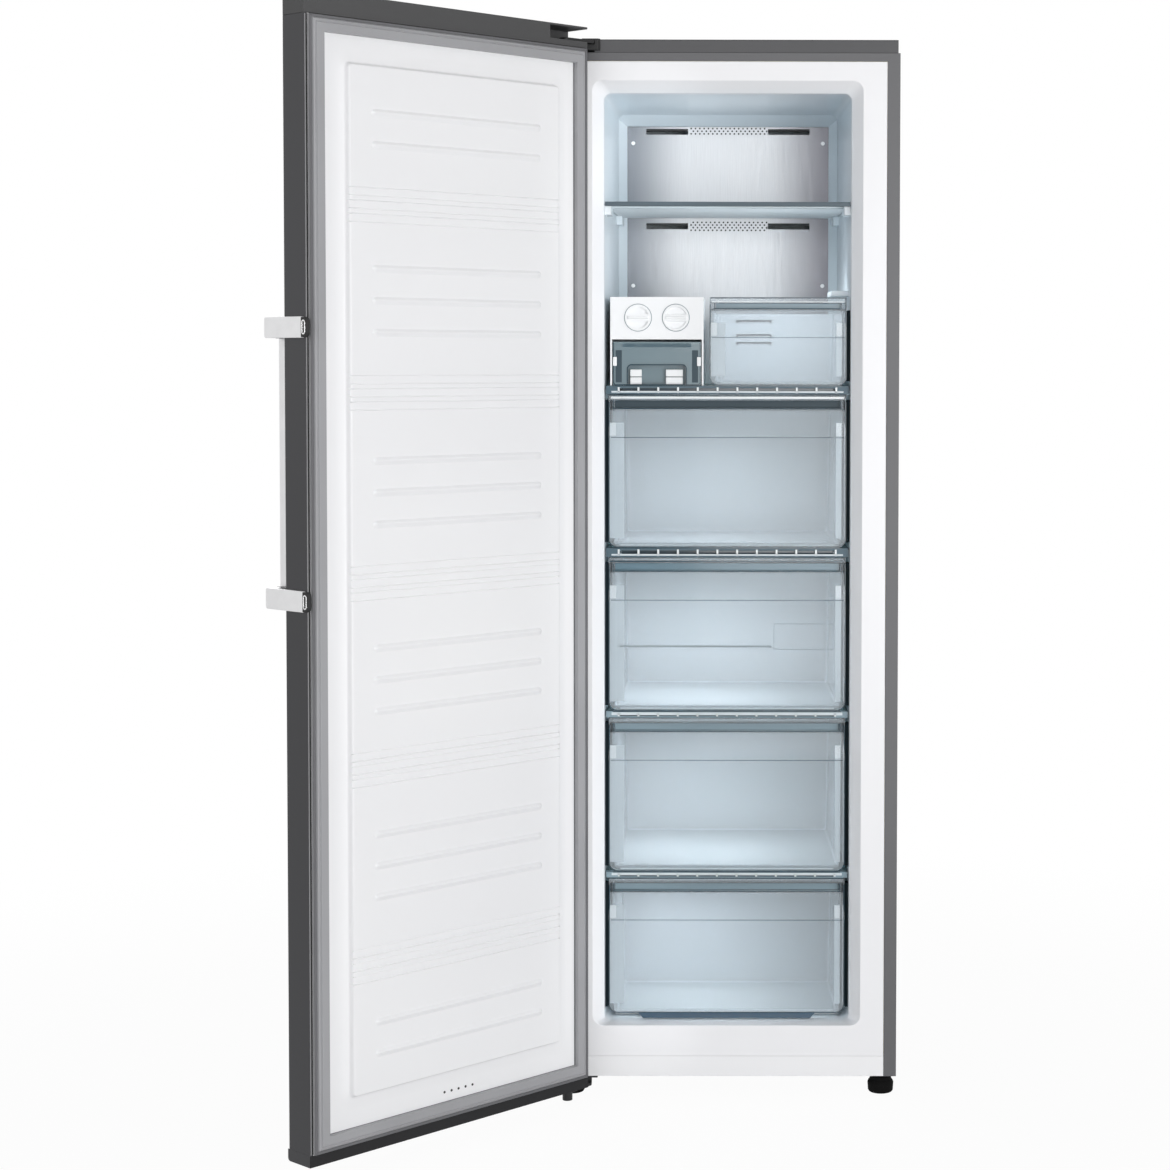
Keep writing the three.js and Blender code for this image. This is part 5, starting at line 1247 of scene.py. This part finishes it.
def makeWorld():  # white to the camera and in glass and metal, dimmer as a light
    world = bpy.data.worlds.new("studioWhite")
    bpy.context.scene.world = world
    world.use_nodes = True
    tree = world.node_tree
    back = tree.nodes["Background"]
    ray = addNode(tree, "ShaderNodeLightPath")
    seen = ray.outputs["Is Camera Ray"]
    for kind in ("Is Transmission Ray", "Is Glossy Ray"):
        larger = addNode(tree, "ShaderNodeMath", {0: seen, 1: ray.outputs[kind]}, operation="MAXIMUM")
        seen = larger.outputs[0]
    level = addNode(tree, "ShaderNodeMapRange", {"Value": seen, "To Min": 0.4, "To Max": 1.0})
    back.inputs["Color"].default_value = (1, 1, 1, 1)
    tree.links.new(level.outputs["Result"], back.inputs["Strength"])


studioLamps = {
    "keyLamp": {"place": (2500, -4000, 700), "aim": (0, 0, 950), "size": 2.4, "power": 87,
                "colour": "#ffffff"},
    "fillLamp": {"place": (-2300, -4000, 3000), "aim": (0, 0, 1300), "size": 2.4, "power": 14,
                 "colour": "#ffffff"},
    "frontLamp": {"place": (950, -5100, 1150), "aim": (0, 200, 900), "size": 2.2, "power": 64,
                  "colour": "#fdfeff"},
    "backLamp": {"place": (-1500, 3400, 2800), "aim": (0, 300, 1000), "size": 2.6, "power": 42,
                 "colour": "#ffffff"},
}
roomLamps = {  # the cold room's own light, from narrow lamps that the camera doesn't see
    "ceilingLamp": {"place": (40, 40, 1600), "aim": (-110, 300, 1690), "size": 0.36, "height": 0.03,
                    "power": 0.07, "colour": "#e6f3fa"},
    "wallLamp": {"place": (110, 210, 1640), "aim": (-215, 230, 1615), "size": 0.25, "height": 0.03,
                 "power": 0.11, "colour": "#eef6fa", "spread": 100},
    "flangeLamp": {"place": (60, -200, 930), "aim": (-240, 20, 930), "size": 0.03, "height": 1.7,
                   "power": 0.26, "colour": "#fcfdff", "spread": 60},
    "shelfLamp": {"place": (60, 60, 1460), "aim": (-60, 400, 1500), "size": 0.3, "height": 0.04,
                  "power": 0.145, "colour": "#e6f3fa"},
    "smallLamp": {"place": (88, 120, 1460), "aim": (88, 210, 1270), "size": 0.16, "height": 0.1,
                  "power": 0.3, "colour": "#f4fafd"},
}
rowPower = {1: 0.63, 2: 0.84, 3: 0.73, 4: 0.41}
for number, (low, high, back) in drawerRows.items():  # the light that the clear fronts let in
    place, aim = (-60, 60 + back * 0.25, high - 26), (-40, 60 + back * 0.4, low)
    roomLamps[f"rowLamp{number}"] = {"place": place, "aim": aim, "size": 0.24, "height": 0.06,
                                     "power": rowPower[number], "colour": "#f8fbfd", "spread": 130}


def makeLamps(lampTable):
    for name, lamp in lampTable.items():
        place = at(*lamp["place"])
        bpy.ops.object.light_add(type="AREA", location=place)
        light = bpy.context.active_object
        light.name = name
        light.data.size = lamp["size"]
        if "height" in lamp:
            light.data.shape = "RECTANGLE"
            light.data.size_y = lamp["height"]
            light.data.spread = math.radians(lamp.get("spread", 150))
            light.visible_glossy = light.visible_camera = light.visible_transmission = False
        light.data.energy = lamp["power"]
        light.data.color = linear(lamp["colour"])[:3]
        light.rotation_euler = (at(*lamp["aim"]) - place).to_track_quat("-Z", "Y").to_euler()


makeStage()
makeWorld()
makeLamps(studioLamps)
makeLamps(roomLamps)
print("stage lit")

bpy.context.view_layer.update()
